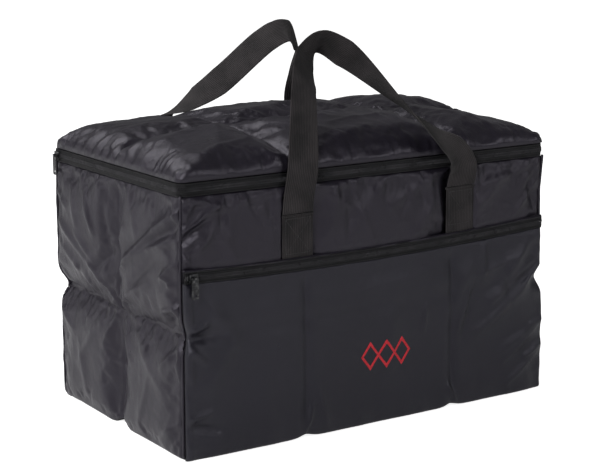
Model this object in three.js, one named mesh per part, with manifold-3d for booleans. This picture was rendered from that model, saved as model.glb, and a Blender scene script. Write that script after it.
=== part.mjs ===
// A padded carrying bag for a box drum: five quilted walls, a quilted lid that opens on a zip,
// a zipped front pocket and two webbing handles. Millimetres, +Z up, the front towards -Y.
// The origin is the middle of the base, on the surface that the bag stands on.
import * as THREE from "three";
import { mergeVertices } from "three/addons/utils/BufferGeometryUtils.js";
import Module from "manifold-3d";

const wasm = await Module();
wasm.setup();

// Overall size, between the corner seams
const LENGTH = 520;
const DEPTH = 302;
const RIM_HEIGHT = 312; // the seam between the zip band and the lid

// Layers of a padded wall, from outside to inside
const CLEARANCE = 0.35; // between pieces that are sewn or laid together
const SHELL_FABRIC = 1;
const FOAM = 8;
const LINING = 0.8;

// Quilting: how far a cell stands out, how far a seam pulls in, how wide that valley is,
// and where the seams run, in X on the long walls and the lid and in Z round the walls
const WALL_PUFF = 2.5;
const WALL_SEAM_DEPTH = 4;
const LID_SEAM_DEPTH = 3.5;
const SEAM_VALLEY = 18;
const WALL_SEAMS = [-98, 114];
const LID_SEAMS = [-114, 109];
const MIDDLE_SEAM = [0];
const LEVEL_SEAM = 145;
const CELL_FULLNESS = 0.4; // exponent of a cell's hump: the lower, the flatter its top
const CELL_STEPS = 4; // grid steps across a quilted cell

// Lid: a soft dome over the rim, quilted in cells with narrow valleys between them
const LID_OVERHANG = 2.5;
const LID_SHOULDER = 16; // rise close behind the edge
const LID_SHOULDER_RUN = 8;
const LID_CROWN = 24; // further rise in the middle
const LID_PUFF = 2.5; // how far a cell's middle stands out of the dome

// Main zip, round the two ends and the front
const ZIP_BAND = 16;
const ZIP_GAP = 1.2; // between the two halves of a zip
const TAPE = 0.8;
const COIL = 1;
const COIL_HEIGHT = 1.8;
const ZIP_CORNER = 10;
const CORNER_STEPS = 6;
const BAND_INSET = 3.8; // how far the padding stands back behind the band

// Zip sliders and pulls; a slider's own frame has X along the zip, -Y outward and Z up
const SLIDER_LENGTH = 11;
const SLIDER_HEIGHT = 9;
const OUTER_PLATE = 1.5;
const INNER_PLATE = 1.2;
const SLIDER_BLADE = 0.6;
const BRIDGE_LENGTH = 9.2;
const BRIDGE_BAR = 1.2;
const BRIDGE_GAP = 1.8;
const KNUCKLE_RADIUS = 1.9;
const KNUCKLE_BORE = 1.1;
const KNUCKLE_LENGTH = 3.4;
const PULL_THICKNESS = 1.1;
const PULL_WIDTH = 8.6;
const PULL_LENGTH = 24;
const PULL_CORNER = 2.6;
const PULL_CORNER_STEPS = 4;
const PULL_TOP = 1.4; // from the bar's axis down to the flat of the pull
const PULL_HOLE_RADIUS = 1.8;
const PULL_RIBS = 4;
const PULL_RIB = 0.9;
const PULL_RIB_PITCH = 2.6;
const PULL_FIRST_RIB = 6;
const MAIN_SLIDER_FROM_BACK = 8;
const POCKET_SLIDER_FROM_END = 11;
const STOP_LENGTH = 1.6;
const STOP_FROM_END = 2;

// Front pocket
const POCKET_ROOM = 4.9; // from the front wall to the inside of the pocket's panel
const POCKET_PANEL = 1;
const POCKET_ZIP_TOP = 220;
const POCKET_ZIP_HEIGHT = 15;
const POCKET_SIDE_INSET = 2.2;
const POCKET_TOP_EDGE_DEPTH = 2.6;

// Handles: webbing sewn to the walls in patches, folded over a stitch line at the patch's top
const WEBBING_WIDTH = 42;
const WEBBING = 2;
const PATCH_STAND_OFF = 1.9; // the quilted wall under the patch
const PATCH_ABOVE_ZIP = 2;
const PATCH_X = { front: { left: -107, right: 127 }, back: { left: -115, right: 107 } };
const FOLD_HEIGHT = 270;
const FOLD_RADIUS = 1.6;
const STRAP_STEPS = 40;
const STITCH_BOX_WIDTH = 34;
const STITCH_BOX_HEIGHT = 38;
const STITCH_LINE = 1.2;
const THREAD = 0.4;

// Trim
const PIPING_RADIUS = 1.6;
const ROD_SIDES = 12; // of pipings, folds, knuckles and their holes
const MOTIF_CENTRE = { x: 15, z: 80 };
const MOTIF_LOZENGES = 3;
const MOTIF_WIDTH = 27;
const MOTIF_HEIGHT = 38;
const MOTIF_LINE = 4;

// Each handle's route from end to end: where the webbing's middle is, along X, inward from the line
// that it folds over and above that line, and the direction across it in the bag's own axes
const FRONT_STRAP = [
  { at: [-107, -0.75, 2], across: [1, 0, 0] },
  { at: [-107, -3.75, 23], across: [1, 0, 0] },
  { at: [-103, -4.75, 50], across: [1, 0, -0.15] },
  { at: [-95, 5.25, 86], across: [0.98, 0.02, -0.3] },
  { at: [-74, 36.25, 140], across: [0.86, 0.1, -0.5] },
  { at: [-56, 59.25, 169], across: [0.68, 0.25, -0.7] },
  { at: [-34, 66.25, 185], across: [0.2, 0.65, -0.73] },
  { at: [-11, 48.25, 172], across: [-0.12, 0.68, -0.72] },
  { at: [38, 10.25, 118], across: [0.4, 0.88, -0.2] },
  { at: [92, -8.75, 66], across: [0.72, 0.52, 0.42] },
  { at: [116, -7.75, 45], across: [0.83, 0.3, 0.4] },
  { at: [127, -4.75, 23], across: [1, 0, 0.1] },
  { at: [127, -0.75, 2], across: [1, 0, 0] },
];
const BACK_STRAP = [
  { at: [-115, -0.75, 2], across: [-1, 0, 0] },
  { at: [-115, -4.75, 23], across: [-1, 0, 0] },
  { at: [-112, -6.75, 47], across: [-1, -0.1, 0.05] },
  { at: [-101, 0.25, 70], across: [-0.84, -0.54, 0] },
  { at: [-80, 28.25, 92], across: [-0.35, -0.8, -0.5] },
  { at: [-56, 52.25, 115], across: [-0.05, -0.77, -0.64] },
  { at: [-10, 85.25, 166], across: [0.08, -0.88, -0.47] },
  { at: [12, 88.25, 176], across: [0.06, -0.86, -0.5] },
  { at: [33, 81.25, 169], across: [-0.17, -0.54, -0.82] },
  { at: [73, 40.25, 128], across: [-0.14, -0.68, -0.72] },
  { at: [92, 15.25, 99], across: [0.45, -0.84, -0.3] },
  { at: [101, -3.75, 68], across: [0.88, -0.45, 0] },
  { at: [107, -5.75, 38], across: [1, -0.1, 0] },
  { at: [107, -0.75, 2], across: [1, 0, 0] },
];

// Depths into a wall, and heights, worked out from the sizes above
const UP = new THREE.Vector3(0, 0, 1);
const FOAM_FACE = SHELL_FABRIC + CLEARANCE;
const LINING_FACE = FOAM_FACE + FOAM + CLEARANCE;
const WALL = LINING_FACE + LINING;
const BAND_LOW = RIM_HEIGHT - ZIP_BAND;
const BAND_MIDDLE = RIM_HEIGHT - ZIP_BAND / 2;
const WALL_LEVELS = [FOAM_FACE, LEVEL_SEAM, BAND_LOW - CLEARANCE];
const WALL_TOP = BAND_MIDDLE - ZIP_GAP / 2 - CLEARANCE;
const LID_UNDERSIDE = BAND_MIDDLE + ZIP_GAP / 2;
const POCKET_FACE = DEPTH / 2 + POCKET_ROOM + POCKET_PANEL;
const POCKET_HALF = LENGTH / 2 - POCKET_SIDE_INSET;
const POCKET_ZIP_LOW = POCKET_ZIP_TOP - POCKET_ZIP_HEIGHT;
const POCKET_ZIP_MIDDLE = POCKET_ZIP_TOP - POCKET_ZIP_HEIGHT / 2;
const PATCH_FACE = DEPTH / 2 + PATCH_STAND_OFF + CLEARANCE;
const FOLD_OUT = PATCH_FACE + WEBBING / 2;
const PATCH_LOW = POCKET_ZIP_TOP + PATCH_ABOVE_ZIP;
const PATCH_HIGH = FOLD_HEIGHT - FOLD_RADIUS - CLEARANCE;

// Distances outward from the outside of a zip's tape
const COIL_FACE = CLEARANCE + COIL;
const OUTER_PLATE_FACE = COIL_FACE + CLEARANCE;
const BRIDGE_FACE = OUTER_PLATE_FACE + OUTER_PLATE;
const BAR_OUT = BRIDGE_FACE + BRIDGE_GAP + BRIDGE_BAR / 2;

const LOOKS = {
  nylon: { color: 0x3a363c, roughness: 0.45, metalness: 0 },
  lining: { color: 0x2a282c, roughness: 0.6, metalness: 0 },
  foam: { color: 0xd8d4c8, roughness: 0.95, metalness: 0 },
  webbing: { color: 0x232224, roughness: 0.8, metalness: 0 },
  tape: { color: 0x1f1d20, roughness: 0.75, metalness: 0 },
  coil: { color: 0x2c2a2e, roughness: 0.4, metalness: 0 },
  metal: { color: 0x3b3b3e, roughness: 0.35, metalness: 0.8 },
  thread: { color: 0x4a474c, roughness: 0.7, metalness: 0 },
  embroidery: { color: 0xc01f2a, roughness: 0.6, metalness: 0 },
};

const bag = new THREE.Group();

function add(name, geometry, look, parent = bag) {
  const mesh = new THREE.Mesh(geometry, new THREE.MeshStandardMaterial(LOOKS[look]));
  mesh.name = name;
  parent.add(mesh);
  return mesh;
}

function ordered(one, other) {
  return [Math.min(one, other), Math.max(one, other)];
}

function block([lowX, highX], [lowY, highY], [lowZ, highZ]) {
  const box = new THREE.BoxGeometry(highX - lowX, highY - lowY, highZ - lowZ);
  return box.translate((lowX + highX) / 2, (lowY + highY) / 2, (lowZ + highZ) / 2);
}

// A block centred on the YZ plane
function wideBlock(half, rangeY, rangeZ) {
  return block([-half, half], rangeY, rangeZ);
}

// A rod along X, centred on the origin
function rod(length, radius) {
  return new THREE.CylinderGeometry(radius, radius, length, ROD_SIDES).rotateZ(Math.PI / 2);
}

function outline(points) {
  return points.map(([x, y]) => new THREE.Vector2(x, y));
}

// A flat shape stood up in the XZ plane, thickened towards -Y
function standing(shape, thickness, curveSegments = 1) {
  const extrude = { depth: thickness, bevelEnabled: false, curveSegments };
  return new THREE.ExtrudeGeometry(shape, extrude).rotateX(Math.PI / 2);
}

function solid(geometry) {
  const bare = geometry.clone();
  bare.deleteAttribute("normal");
  bare.deleteAttribute("uv");
  const merged = mergeVertices(bare);
  const vertProperties = merged.attributes.position.array;
  const triVerts = new Uint32Array(merged.index.array);
  return new wasm.Manifold(new wasm.Mesh({ numProp: 3, vertProperties, triVerts }));
}

function joined(...geometries) {
  return geometries.map(solid).reduce((whole, piece) => whole.add(piece));
}

function geometryOf(manifold) {
  const { vertProperties, triVerts } = manifold.getMesh();
  const geometry = new THREE.BufferGeometry();
  geometry.setAttribute("position", new THREE.BufferAttribute(vertProperties, 3));
  geometry.setIndex(new THREE.BufferAttribute(triVerts, 1));
  const faceted = geometry.toNonIndexed();
  faceted.computeVertexNormals();
  return faceted;
}

// A closed sheet between two grids of points, outer(u, v) and inner(u, v), with U x V outward
function sheet(linesU, linesV, outer, inner) {
  const count = linesU.length;
  const right = count - 1;
  const top = linesV.length - 1;
  const points = [];
  const faces = [];
  for (const face of [outer, inner])
    for (const v of linesV) for (const u of linesU) points.push(...face(u, v).toArray());
  const at = (i, j, layer) => layer * count * linesV.length + j * count + i;
  const quad = (a, b, c, d) => faces.push(a, b, c, a, c, d);
  for (let j = 0; j < top; j++)
    for (let i = 0; i < right; i++) {
      quad(at(i, j, 0), at(i + 1, j, 0), at(i + 1, j + 1, 0), at(i, j + 1, 0));
      quad(at(i, j, 1), at(i, j + 1, 1), at(i + 1, j + 1, 1), at(i + 1, j, 1));
    }
  for (let i = 0; i < right; i++) {
    quad(at(i, 0, 1), at(i + 1, 0, 1), at(i + 1, 0, 0), at(i, 0, 0));
    quad(at(i, top, 0), at(i + 1, top, 0), at(i + 1, top, 1), at(i, top, 1));
  }
  for (let j = 0; j < top; j++) {
    quad(at(0, j, 0), at(0, j + 1, 0), at(0, j + 1, 1), at(0, j, 1));
    quad(at(right, j, 1), at(right, j + 1, 1), at(right, j + 1, 0), at(right, j, 0));
  }
  const geometry = new THREE.BufferGeometry();
  geometry.setAttribute("position", new THREE.Float32BufferAttribute(points, 3));
  geometry.setIndex(faces);
  geometry.computeVertexNormals();
  return geometry;
}

// The given lines, with evenly spaced ones between them
function subdivided(lines, steps) {
  const all = [lines[0]];
  for (let cell = 1; cell < lines.length; cell++)
    for (let step = 1; step <= steps; step++)
      all.push(lines[cell - 1] + ((lines[cell] - lines[cell - 1]) * step) / steps);
  return all;
}

// 1 halfway between two of the lines, 0 on a line and outside them
function hump(position, lines) {
  const next = lines.findIndex((line) => position < line);
  if (next <= 0) return 0;
  const share = (position - lines[next - 1]) / (lines[next] - lines[next - 1]);
  return Math.pow(4 * share * (1 - share), CELL_FULLNESS);
}

// 1 on an inner line, falling off across the valley of a seam
function valley(position, lines) {
  const falls = lines.slice(1, -1).map((line) => Math.exp(-(((position - line) / SEAM_VALLEY) ** 2)));
  return Math.max(0, ...falls);
}

// 1 well inside the outer lines, 0 at them
function fade(position, lines) {
  const inside = Math.min(position - lines[0], lines[lines.length - 1] - position);
  return THREE.MathUtils.clamp(inside / SEAM_VALLEY, 0, 1);
}

function seamDip(x, y, linesX, linesY) {
  return Math.max(valley(x, linesX) * fade(y, linesY), valley(y, linesY) * fade(x, linesX));
}

// A quilted wall: outer fabric, foam and lining, on a frame with X along the wall and Z up
function addWall(name, { turn, offset, half, seams, foamHalf, liningHalf, puffAt }) {
  const seamLines = [-half + LINING_FACE, ...seams, half - LINING_FACE];
  const place = (x, depth, z) => new THREE.Vector3(x, depth - offset, z).applyAxisAngle(UP, turn);
  const surface = (x, z) => {
    const puff = WALL_PUFF * puffAt(z) * hump(x, seamLines) * hump(z, WALL_LEVELS);
    return WALL_SEAM_DEPTH * seamDip(x, z, seamLines, WALL_LEVELS) - puff;
  };
  const innerX = subdivided(seamLines, CELL_STEPS);
  const innerZ = subdivided(WALL_LEVELS, CELL_STEPS);
  const withEnds = (end) => (end > half - LINING_FACE ? [-end, ...innerX, end] : innerX);

  const shellX = withEnds(half - PIPING_RADIUS - CLEARANCE);
  const shellFace = (x, z) => place(x, surface(x, z), z);
  const shellBack = (x, z) => place(x, surface(x, z) + SHELL_FABRIC, z);
  add(name + "_outer", sheet(shellX, [CLEARANCE, ...innerZ], shellFace, shellBack), "nylon");

  // Behind the zip band the foam stands back, and stops short of the band's round corners
  const inBand = (z) => z > BAND_LOW - CLEARANCE;
  const narrow = (x, z) => (inBand(z) ? (x * (half - ZIP_CORNER)) / foamHalf : x);
  const foamDepth = (x, z) => (inBand(z) ? BAND_INSET : FOAM_FACE + surface(x, z));
  const foamFace = (x, z) => place(narrow(x, z), foamDepth(x, z), z);
  const foamBack = (x, z) => place(narrow(x, z), FOAM_FACE + FOAM, z);
  const foamZ = [...innerZ, BAND_LOW, WALL_TOP];
  add(name + "_foam", sheet(withEnds(foamHalf), foamZ, foamFace, foamBack), "foam");

  const liningFace = (x, z) => place(x, LINING_FACE, z);
  const liningBack = (x, z) => place(x, WALL, z);
  const lining = sheet([-liningHalf, liningHalf], [LINING_FACE, WALL_TOP], liningFace, liningBack);
  add(name + "_lining", lining, "lining");
}

// The front wall lies flat behind the pocket and puffs out above it
function puffAbovePocket(z) {
  return THREE.MathUtils.smoothstep(z, POCKET_ZIP_LOW, POCKET_ZIP_TOP + POCKET_ZIP_HEIGHT);
}

function addWalls() {
  const long = {
    offset: DEPTH / 2,
    half: LENGTH / 2,
    foamHalf: LENGTH / 2 - FOAM_FACE,
    liningHalf: LENGTH / 2 - WALL - CLEARANCE,
  };
  const end = {
    offset: LENGTH / 2,
    half: DEPTH / 2,
    seams: MIDDLE_SEAM,
    foamHalf: DEPTH / 2 - LINING_FACE,
    liningHalf: DEPTH / 2 - LINING_FACE,
    puffAt: () => 1,
  };
  const mirroredSeams = WALL_SEAMS.map((seam) => -seam).reverse();
  addWall("front", { ...long, turn: 0, seams: WALL_SEAMS, puffAt: puffAbovePocket });
  addWall("back", { ...long, turn: Math.PI, seams: mirroredSeams, puffAt: () => 1 });
  addWall("left", { ...end, turn: -Math.PI / 2 });
  addWall("right", { ...end, turn: Math.PI / 2 });
}

function addBase() {
  const plate = (inset, low, high) =>
    wideBlock(LENGTH / 2 - inset, [inset - DEPTH / 2, DEPTH / 2 - inset], [low, high]);
  add("bottom_outer", plate(FOAM_FACE, 0, SHELL_FABRIC), "nylon");
  add("bottom_foam", plate(LINING_FACE, FOAM_FACE, FOAM_FACE + FOAM), "foam");
  add("bottom_lining", plate(WALL + CLEARANCE, LINING_FACE, WALL), "lining");
}

function addCornerPiping() {
  const low = SHELL_FABRIC + CLEARANCE;
  const height = BAND_LOW - CLEARANCE - low;
  const corners = { front_left: [-1, -1], front_right: [1, -1], back_left: [-1, 1], back_right: [1, 1] };
  for (const [name, [sideX, sideY]] of Object.entries(corners)) {
    const piping = rod(height, PIPING_RADIUS).rotateY(Math.PI / 2);
    const mesh = add(name + "_piping", piping, "nylon");
    mesh.position.set((sideX * LENGTH) / 2, (sideY * DEPTH) / 2, low + height / 2);
  }
}

// A face of the zip band from above: along the left end, round the front and the right end
function bandLine(face) {
  const x = LENGTH / 2 - face;
  const y = DEPTH / 2 - face;
  const radius = ZIP_CORNER - face;
  const backEnd = DEPTH / 2 - TAPE - CLEARANCE;
  const corners = [
    { centreX: radius - x, from: Math.PI },
    { centreX: x - radius, from: 1.5 * Math.PI },
  ];
  const line = [[-x, backEnd]];
  for (const { centreX, from } of corners)
    for (let step = 0; step <= CORNER_STEPS; step++) {
      const angle = from + (step / CORNER_STEPS) * (Math.PI / 2);
      line.push([centreX + radius * Math.cos(angle), radius * (1 + Math.sin(angle)) - y]);
    }
  line.push([x, backEnd]);
  return line;
}

function bandStrip(face, thickness, low, high) {
  const outerLine = bandLine(face);
  const innerLine = bandLine(face + thickness);
  const on = (line) => (index, z) => new THREE.Vector3(...line[index], z);
  return sheet([...outerLine.keys()], [low, high], on(outerLine), on(innerLine));
}

function addMainZip(lid) {
  const halves = [
    { name: "body", parent: bag, low: BAND_LOW, high: BAND_MIDDLE - ZIP_GAP / 2 },
    { name: "lid", parent: lid, low: BAND_MIDDLE + ZIP_GAP / 2, high: RIM_HEIGHT - CLEARANCE },
  ];
  for (const { name, parent, low, high } of halves) {
    add(name + "_zip_tape", bandStrip(0, TAPE, low, high), "tape", parent);
    const coilLow = name === "lid" ? low : high - COIL_HEIGHT;
    const coil = bandStrip(-COIL_FACE, COIL, coilLow, coilLow + COIL_HEIGHT);
    add(name + "_zip_coil", coil, "coil", parent);
  }
}

// The fabric that closes the band at the back, where the lid is sewn on and bends
function addHingeStrip() {
  const half = LENGTH / 2 - PIPING_RADIUS - CLEARANCE;
  const strip = wideBlock(half, [DEPTH / 2 - TAPE, DEPTH / 2], [BAND_LOW, RIM_HEIGHT - CLEARANCE]);
  add("lid_hinge_strip", strip, "nylon");
}

// The tape that binds the raw edges round the inside of the mouth
function addRimBinding() {
  const rectangle = (inset) => {
    const x = LENGTH / 2 - inset;
    const y = DEPTH / 2 - inset;
    return outline([[-x, -y], [x, -y], [x, y], [-x, y]]);
  };
  const shape = new THREE.Shape(rectangle(WALL + CLEARANCE));
  shape.holes.push(new THREE.Path(rectangle(WALL + CLEARANCE + LINING)));
  const extrude = { depth: WALL_TOP - BAND_LOW, bevelEnabled: false };
  add("rim_binding", new THREE.ExtrudeGeometry(shape, extrude).translate(0, 0, BAND_LOW), "lining");
}

// A point of the lid's plan, drawn in to the zip band's round corner where it lies beyond it
function roundedCorner(x, y) {
  const centreX = Math.sign(x) * (LENGTH / 2 - ZIP_CORNER);
  const centreY = Math.sign(y) * (DEPTH / 2 - ZIP_CORNER);
  const outX = Math.abs(x) - Math.abs(centreX);
  const outY = Math.abs(y) - Math.abs(centreY);
  if (outX <= 0 || outY <= 0) return [x, y];
  const shrink = Math.max(outX, outY) / Math.hypot(outX, outY);
  return [centreX + (x - centreX) * shrink, centreY + (y - centreY) * shrink];
}

// How far the lid's top stands over its edge; the lines are its edges and seams
function lidRise(x, y, linesX, linesY) {
  const halfX = linesX[linesX.length - 1];
  const halfY = linesY[linesY.length - 1];
  const inward = Math.min(halfX - Math.abs(x), halfY - Math.abs(y));
  const shoulder = LID_SHOULDER * (1 - Math.exp(-inward / LID_SHOULDER_RUN));
  const bow = Math.cos((Math.PI * x) / (2 * halfX)) * Math.cos((Math.PI * y) / (2 * halfY));
  const crown = LID_CROWN * Math.sqrt(Math.max(0, bow));
  const puff = LID_PUFF * hump(x, linesX) * hump(y, linesY);
  return shoulder + crown + puff - LID_SEAM_DEPTH * seamDip(x, y, linesX, linesY);
}

function addLid(lid) {
  const linesX = [-LENGTH / 2 - LID_OVERHANG, ...LID_SEAMS, LENGTH / 2 + LID_OVERHANG];
  const linesY = [-DEPTH / 2 - LID_OVERHANG, ...MIDDLE_SEAM, DEPTH / 2 + LID_OVERHANG];
  // Grid lines on the foam's edge, the shoulder's foot, the seams and both sides of their valleys
  const foamLines = (lines) => {
    const edge = lines[lines.length - 1] - LID_OVERHANG - BAND_INSET;
    const foot = edge - LID_SHOULDER_RUN;
    const seams = lines.slice(1, -1);
    const sides = seams.flatMap((seam) => [seam - SEAM_VALLEY, seam + SEAM_VALLEY]);
    const cells = subdivided([-foot, ...seams, foot], CELL_STEPS);
    return [-edge, ...cells, ...sides, edge].sort((one, other) => one - other);
  };
  const shellLines = (lines) => [lines[0], ...foamLines(lines), lines[lines.length - 1]];
  const under = (x, y) => RIM_HEIGHT + CLEARANCE + lidRise(x, y, linesX, linesY);
  const raised = (rise) => (x, y) => new THREE.Vector3(...roundedCorner(x, y), under(x, y) + rise);
  const level = (z) => (x, y) => new THREE.Vector3(...roundedCorner(x, y), z);

  const shell = sheet(shellLines(linesX), shellLines(linesY), raised(SHELL_FABRIC), raised(0));
  add("lid_outer", shell, "nylon", lid);
  const foamLow = LID_UNDERSIDE + LINING + CLEARANCE;
  const foam = sheet(foamLines(linesX), foamLines(linesY), raised(-CLEARANCE), level(foamLow));
  add("lid_foam", foam, "foam", lid);
  const liningY = [BAND_INSET - DEPTH / 2, DEPTH / 2 - BAND_INSET];
  const lining = wideBlock(LENGTH / 2 - BAND_INSET, liningY, [LID_UNDERSIDE, LID_UNDERSIDE + LINING]);
  add("lid_lining", lining, "lining", lid);
}

function slider() {
  const plateZ = [-SLIDER_HEIGHT / 2, SLIDER_HEIGHT / 2];
  const barZ = [-BRIDGE_BAR / 2, BRIDGE_BAR / 2];
  const innerFace = TAPE + CLEARANCE;
  const rooted = -BRIDGE_FACE + OUTER_PLATE / 2; // inside the outer plate
  const outer = wideBlock(SLIDER_LENGTH / 2, [-BRIDGE_FACE, -OUTER_PLATE_FACE], plateZ);
  const inner = wideBlock(SLIDER_LENGTH / 2, [innerFace, innerFace + INNER_PLATE], plateZ);
  const bladeZ = [-SLIDER_BLADE / 2, SLIDER_BLADE / 2];
  const blade = wideBlock(SLIDER_LENGTH / 2 - 1, [rooted, innerFace + INNER_PLATE / 2], bladeZ);
  const bar = wideBlock(BRIDGE_LENGTH / 2, [-BAR_OUT - BRIDGE_BAR / 2, -BAR_OUT + BRIDGE_BAR / 2], barZ);
  const posts = [-1, 1].map((side) => {
    const end = (side * BRIDGE_LENGTH) / 2;
    return block(ordered(end, end - side * BRIDGE_BAR), [-BAR_OUT, rooted], barZ);
  });
  return geometryOf(joined(outer, inner, blade, bar, ...posts));
}

// A ribbed tab on a knuckle round the slider's bar, hanging along -Z with its face towards -Y
function pull() {
  const half = PULL_WIDTH / 2;
  const shape = new THREE.Shape();
  shape.moveTo(half, -PULL_TOP);
  shape.lineTo(-half, -PULL_TOP);
  shape.lineTo(-half, PULL_CORNER - PULL_LENGTH);
  shape.quadraticCurveTo(-half, -PULL_LENGTH, PULL_CORNER - half, -PULL_LENGTH);
  shape.lineTo(half - PULL_CORNER, -PULL_LENGTH);
  shape.quadraticCurveTo(half, -PULL_LENGTH, half, PULL_CORNER - PULL_LENGTH);
  const plate = standing(shape, PULL_THICKNESS, PULL_CORNER_STEPS).translate(0, PULL_THICKNESS / 2, 0);
  const ribs = Array.from({ length: PULL_RIBS }, (_, index) => {
    const z = -PULL_FIRST_RIB - index * PULL_RIB_PITCH;
    const ribY = [-(PULL_THICKNESS + PULL_RIB) / 2, 0];
    return wideBlock(half - PULL_RIB, ribY, [z - PULL_RIB / 2, z + PULL_RIB / 2]);
  });
  const knuckle = rod(KNUCKLE_LENGTH, KNUCKLE_RADIUS);
  const bore = rod(KNUCKLE_LENGTH * 2, KNUCKLE_BORE);
  const hole = rod(PULL_THICKNESS * 4, PULL_HOLE_RADIUS).rotateZ(Math.PI / 2);
  hole.translate(0, 0, half - PULL_LENGTH);
  return geometryOf(joined(plate, ...ribs, knuckle).subtract(solid(bore)).subtract(solid(hole)));
}

// A slider and its pull, at a point on the outside of the zip's tape
function addSlider(name, position, turn) {
  const body = add(name + "_slider", slider(), "metal");
  body.position.copy(position);
  body.rotation.z = turn;
  const tab = add(name + "_pull", pull(), "metal");
  tab.position.set(0, -BAR_OUT, 0).applyAxisAngle(UP, turn).add(position);
  tab.rotation.z = turn;
}

function addSliders() {
  const backY = DEPTH / 2 - MAIN_SLIDER_FROM_BACK;
  addSlider("main", new THREE.Vector3(-LENGTH / 2, backY, BAND_MIDDLE), -Math.PI / 2);
  const leftX = POCKET_SLIDER_FROM_END - POCKET_HALF;
  addSlider("pocket", new THREE.Vector3(leftX, -POCKET_FACE, POCKET_ZIP_MIDDLE), 0);
}

// The pocket's panel and its edges, turned in to the wall's seams
function addPocketPanel() {
  const panelY = [-POCKET_FACE, -POCKET_FACE + POCKET_PANEL];
  add("pocket_panel", wideBlock(POCKET_HALF, panelY, [CLEARANCE, POCKET_ZIP_LOW - CLEARANCE]), "nylon");
  const edgeY = [-POCKET_FACE + POCKET_PANEL + CLEARANCE, -DEPTH / 2 - CLEARANCE];
  const topEdgeLow = POCKET_ZIP_TOP - POCKET_PANEL;
  for (const [name, side] of [["left", -1], ["right", 1]]) {
    const edgeX = ordered(side * POCKET_HALF, side * (POCKET_HALF - POCKET_PANEL));
    add(`pocket_${name}_edge`, block(edgeX, edgeY, [CLEARANCE, topEdgeLow - CLEARANCE]), "nylon");
  }
  const between = POCKET_HALF - POCKET_PANEL - CLEARANCE;
  add("pocket_bottom_edge", wideBlock(between, edgeY, [CLEARANCE, CLEARANCE + POCKET_PANEL]), "nylon");
  const tapeBack = -POCKET_FACE + TAPE + CLEARANCE;
  const topEdgeY = [tapeBack, tapeBack + POCKET_TOP_EDGE_DEPTH];
  add("pocket_top_edge", wideBlock(POCKET_HALF, topEdgeY, [topEdgeLow, POCKET_ZIP_TOP]), "nylon");
}

function addPocketZip() {
  const tapeY = [-POCKET_FACE, -POCKET_FACE + TAPE];
  const coilY = [-POCKET_FACE - COIL_FACE, -POCKET_FACE - CLEARANCE];
  const splitLow = POCKET_ZIP_MIDDLE - ZIP_GAP / 2;
  const splitHigh = POCKET_ZIP_MIDDLE + ZIP_GAP / 2;
  add("pocket_lower_tape", wideBlock(POCKET_HALF, tapeY, [POCKET_ZIP_LOW, splitLow]), "tape");
  add("pocket_upper_tape", wideBlock(POCKET_HALF, tapeY, [splitHigh, POCKET_ZIP_TOP]), "tape");
  add("pocket_lower_coil", wideBlock(POCKET_HALF, coilY, [splitLow - COIL_HEIGHT, splitLow]), "coil");
  add("pocket_upper_coil", wideBlock(POCKET_HALF, coilY, [splitHigh, splitHigh + COIL_HEIGHT]), "coil");
  const stopFace = coilY[0] - CLEARANCE;
  for (const [name, side] of [["left", -1], ["right", 1]]) {
    const end = side * (POCKET_HALF - STOP_FROM_END);
    const stopZ = [splitLow - COIL_HEIGHT, splitHigh + COIL_HEIGHT];
    const stop = block(ordered(end, end - side * STOP_LENGTH), [stopFace - COIL, stopFace], stopZ);
    add(`pocket_zip_${name}_stop`, stop, "metal");
  }
}

// A stitched box with a cross in it
function boxStitch() {
  const x = STITCH_BOX_WIDTH / 2;
  const z = STITCH_BOX_HEIGHT / 2;
  const shape = new THREE.Shape(outline([[-x, -z], [x, -z], [x, z], [-x, z]]));
  const innerX = x - STITCH_LINE;
  const innerZ = z - STITCH_LINE;
  const gap = STITCH_LINE;
  // The four triangles between the box and its cross
  const triangles = [
    [[gap - innerX, -innerZ], [innerX - gap, -innerZ], [0, -gap]],
    [[innerX, gap - innerZ], [innerX, innerZ - gap], [gap, 0]],
    [[innerX - gap, innerZ], [gap - innerX, innerZ], [0, gap]],
    [[-innerX, innerZ - gap], [-innerX, gap - innerZ], [-gap, 0]],
  ];
  for (const triangle of triangles) shape.holes.push(new THREE.Path(outline(triangle)));
  return standing(shape, THREAD);
}

// A ribbon of webbing along the given route, on the front wall (outward -1) or the back (1)
function strap(stations, outward) {
  const place = ([x, inward, above]) => [x, outward * (FOLD_OUT - inward), FOLD_HEIGHT + above];
  const centres = stations.map(({ at }) => new THREE.Vector3(...place(at)));
  const sides = stations.map(({ across }) => new THREE.Vector3(...across));
  const curve = new THREE.CatmullRomCurve3(centres, false, "centripetal");
  const surface = (lift) => (side, t) => {
    const station = Math.min(Math.floor(t * (sides.length - 1)), sides.length - 2);
    const share = t * (sides.length - 1) - station;
    const along = curve.getTangent(t);
    const across = sides[station].clone().lerp(sides[station + 1], share);
    across.addScaledVector(along, -across.dot(along)).normalize();
    const normal = across.clone().cross(along);
    return curve.getPoint(t).addScaledVector(across, side).addScaledVector(normal, lift);
  };
  const edges = [-WEBBING_WIDTH / 2, WEBBING_WIDTH / 2];
  return sheet(edges, subdivided([0, 1], STRAP_STEPS), surface(WEBBING / 2), surface(-WEBBING / 2));
}

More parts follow.
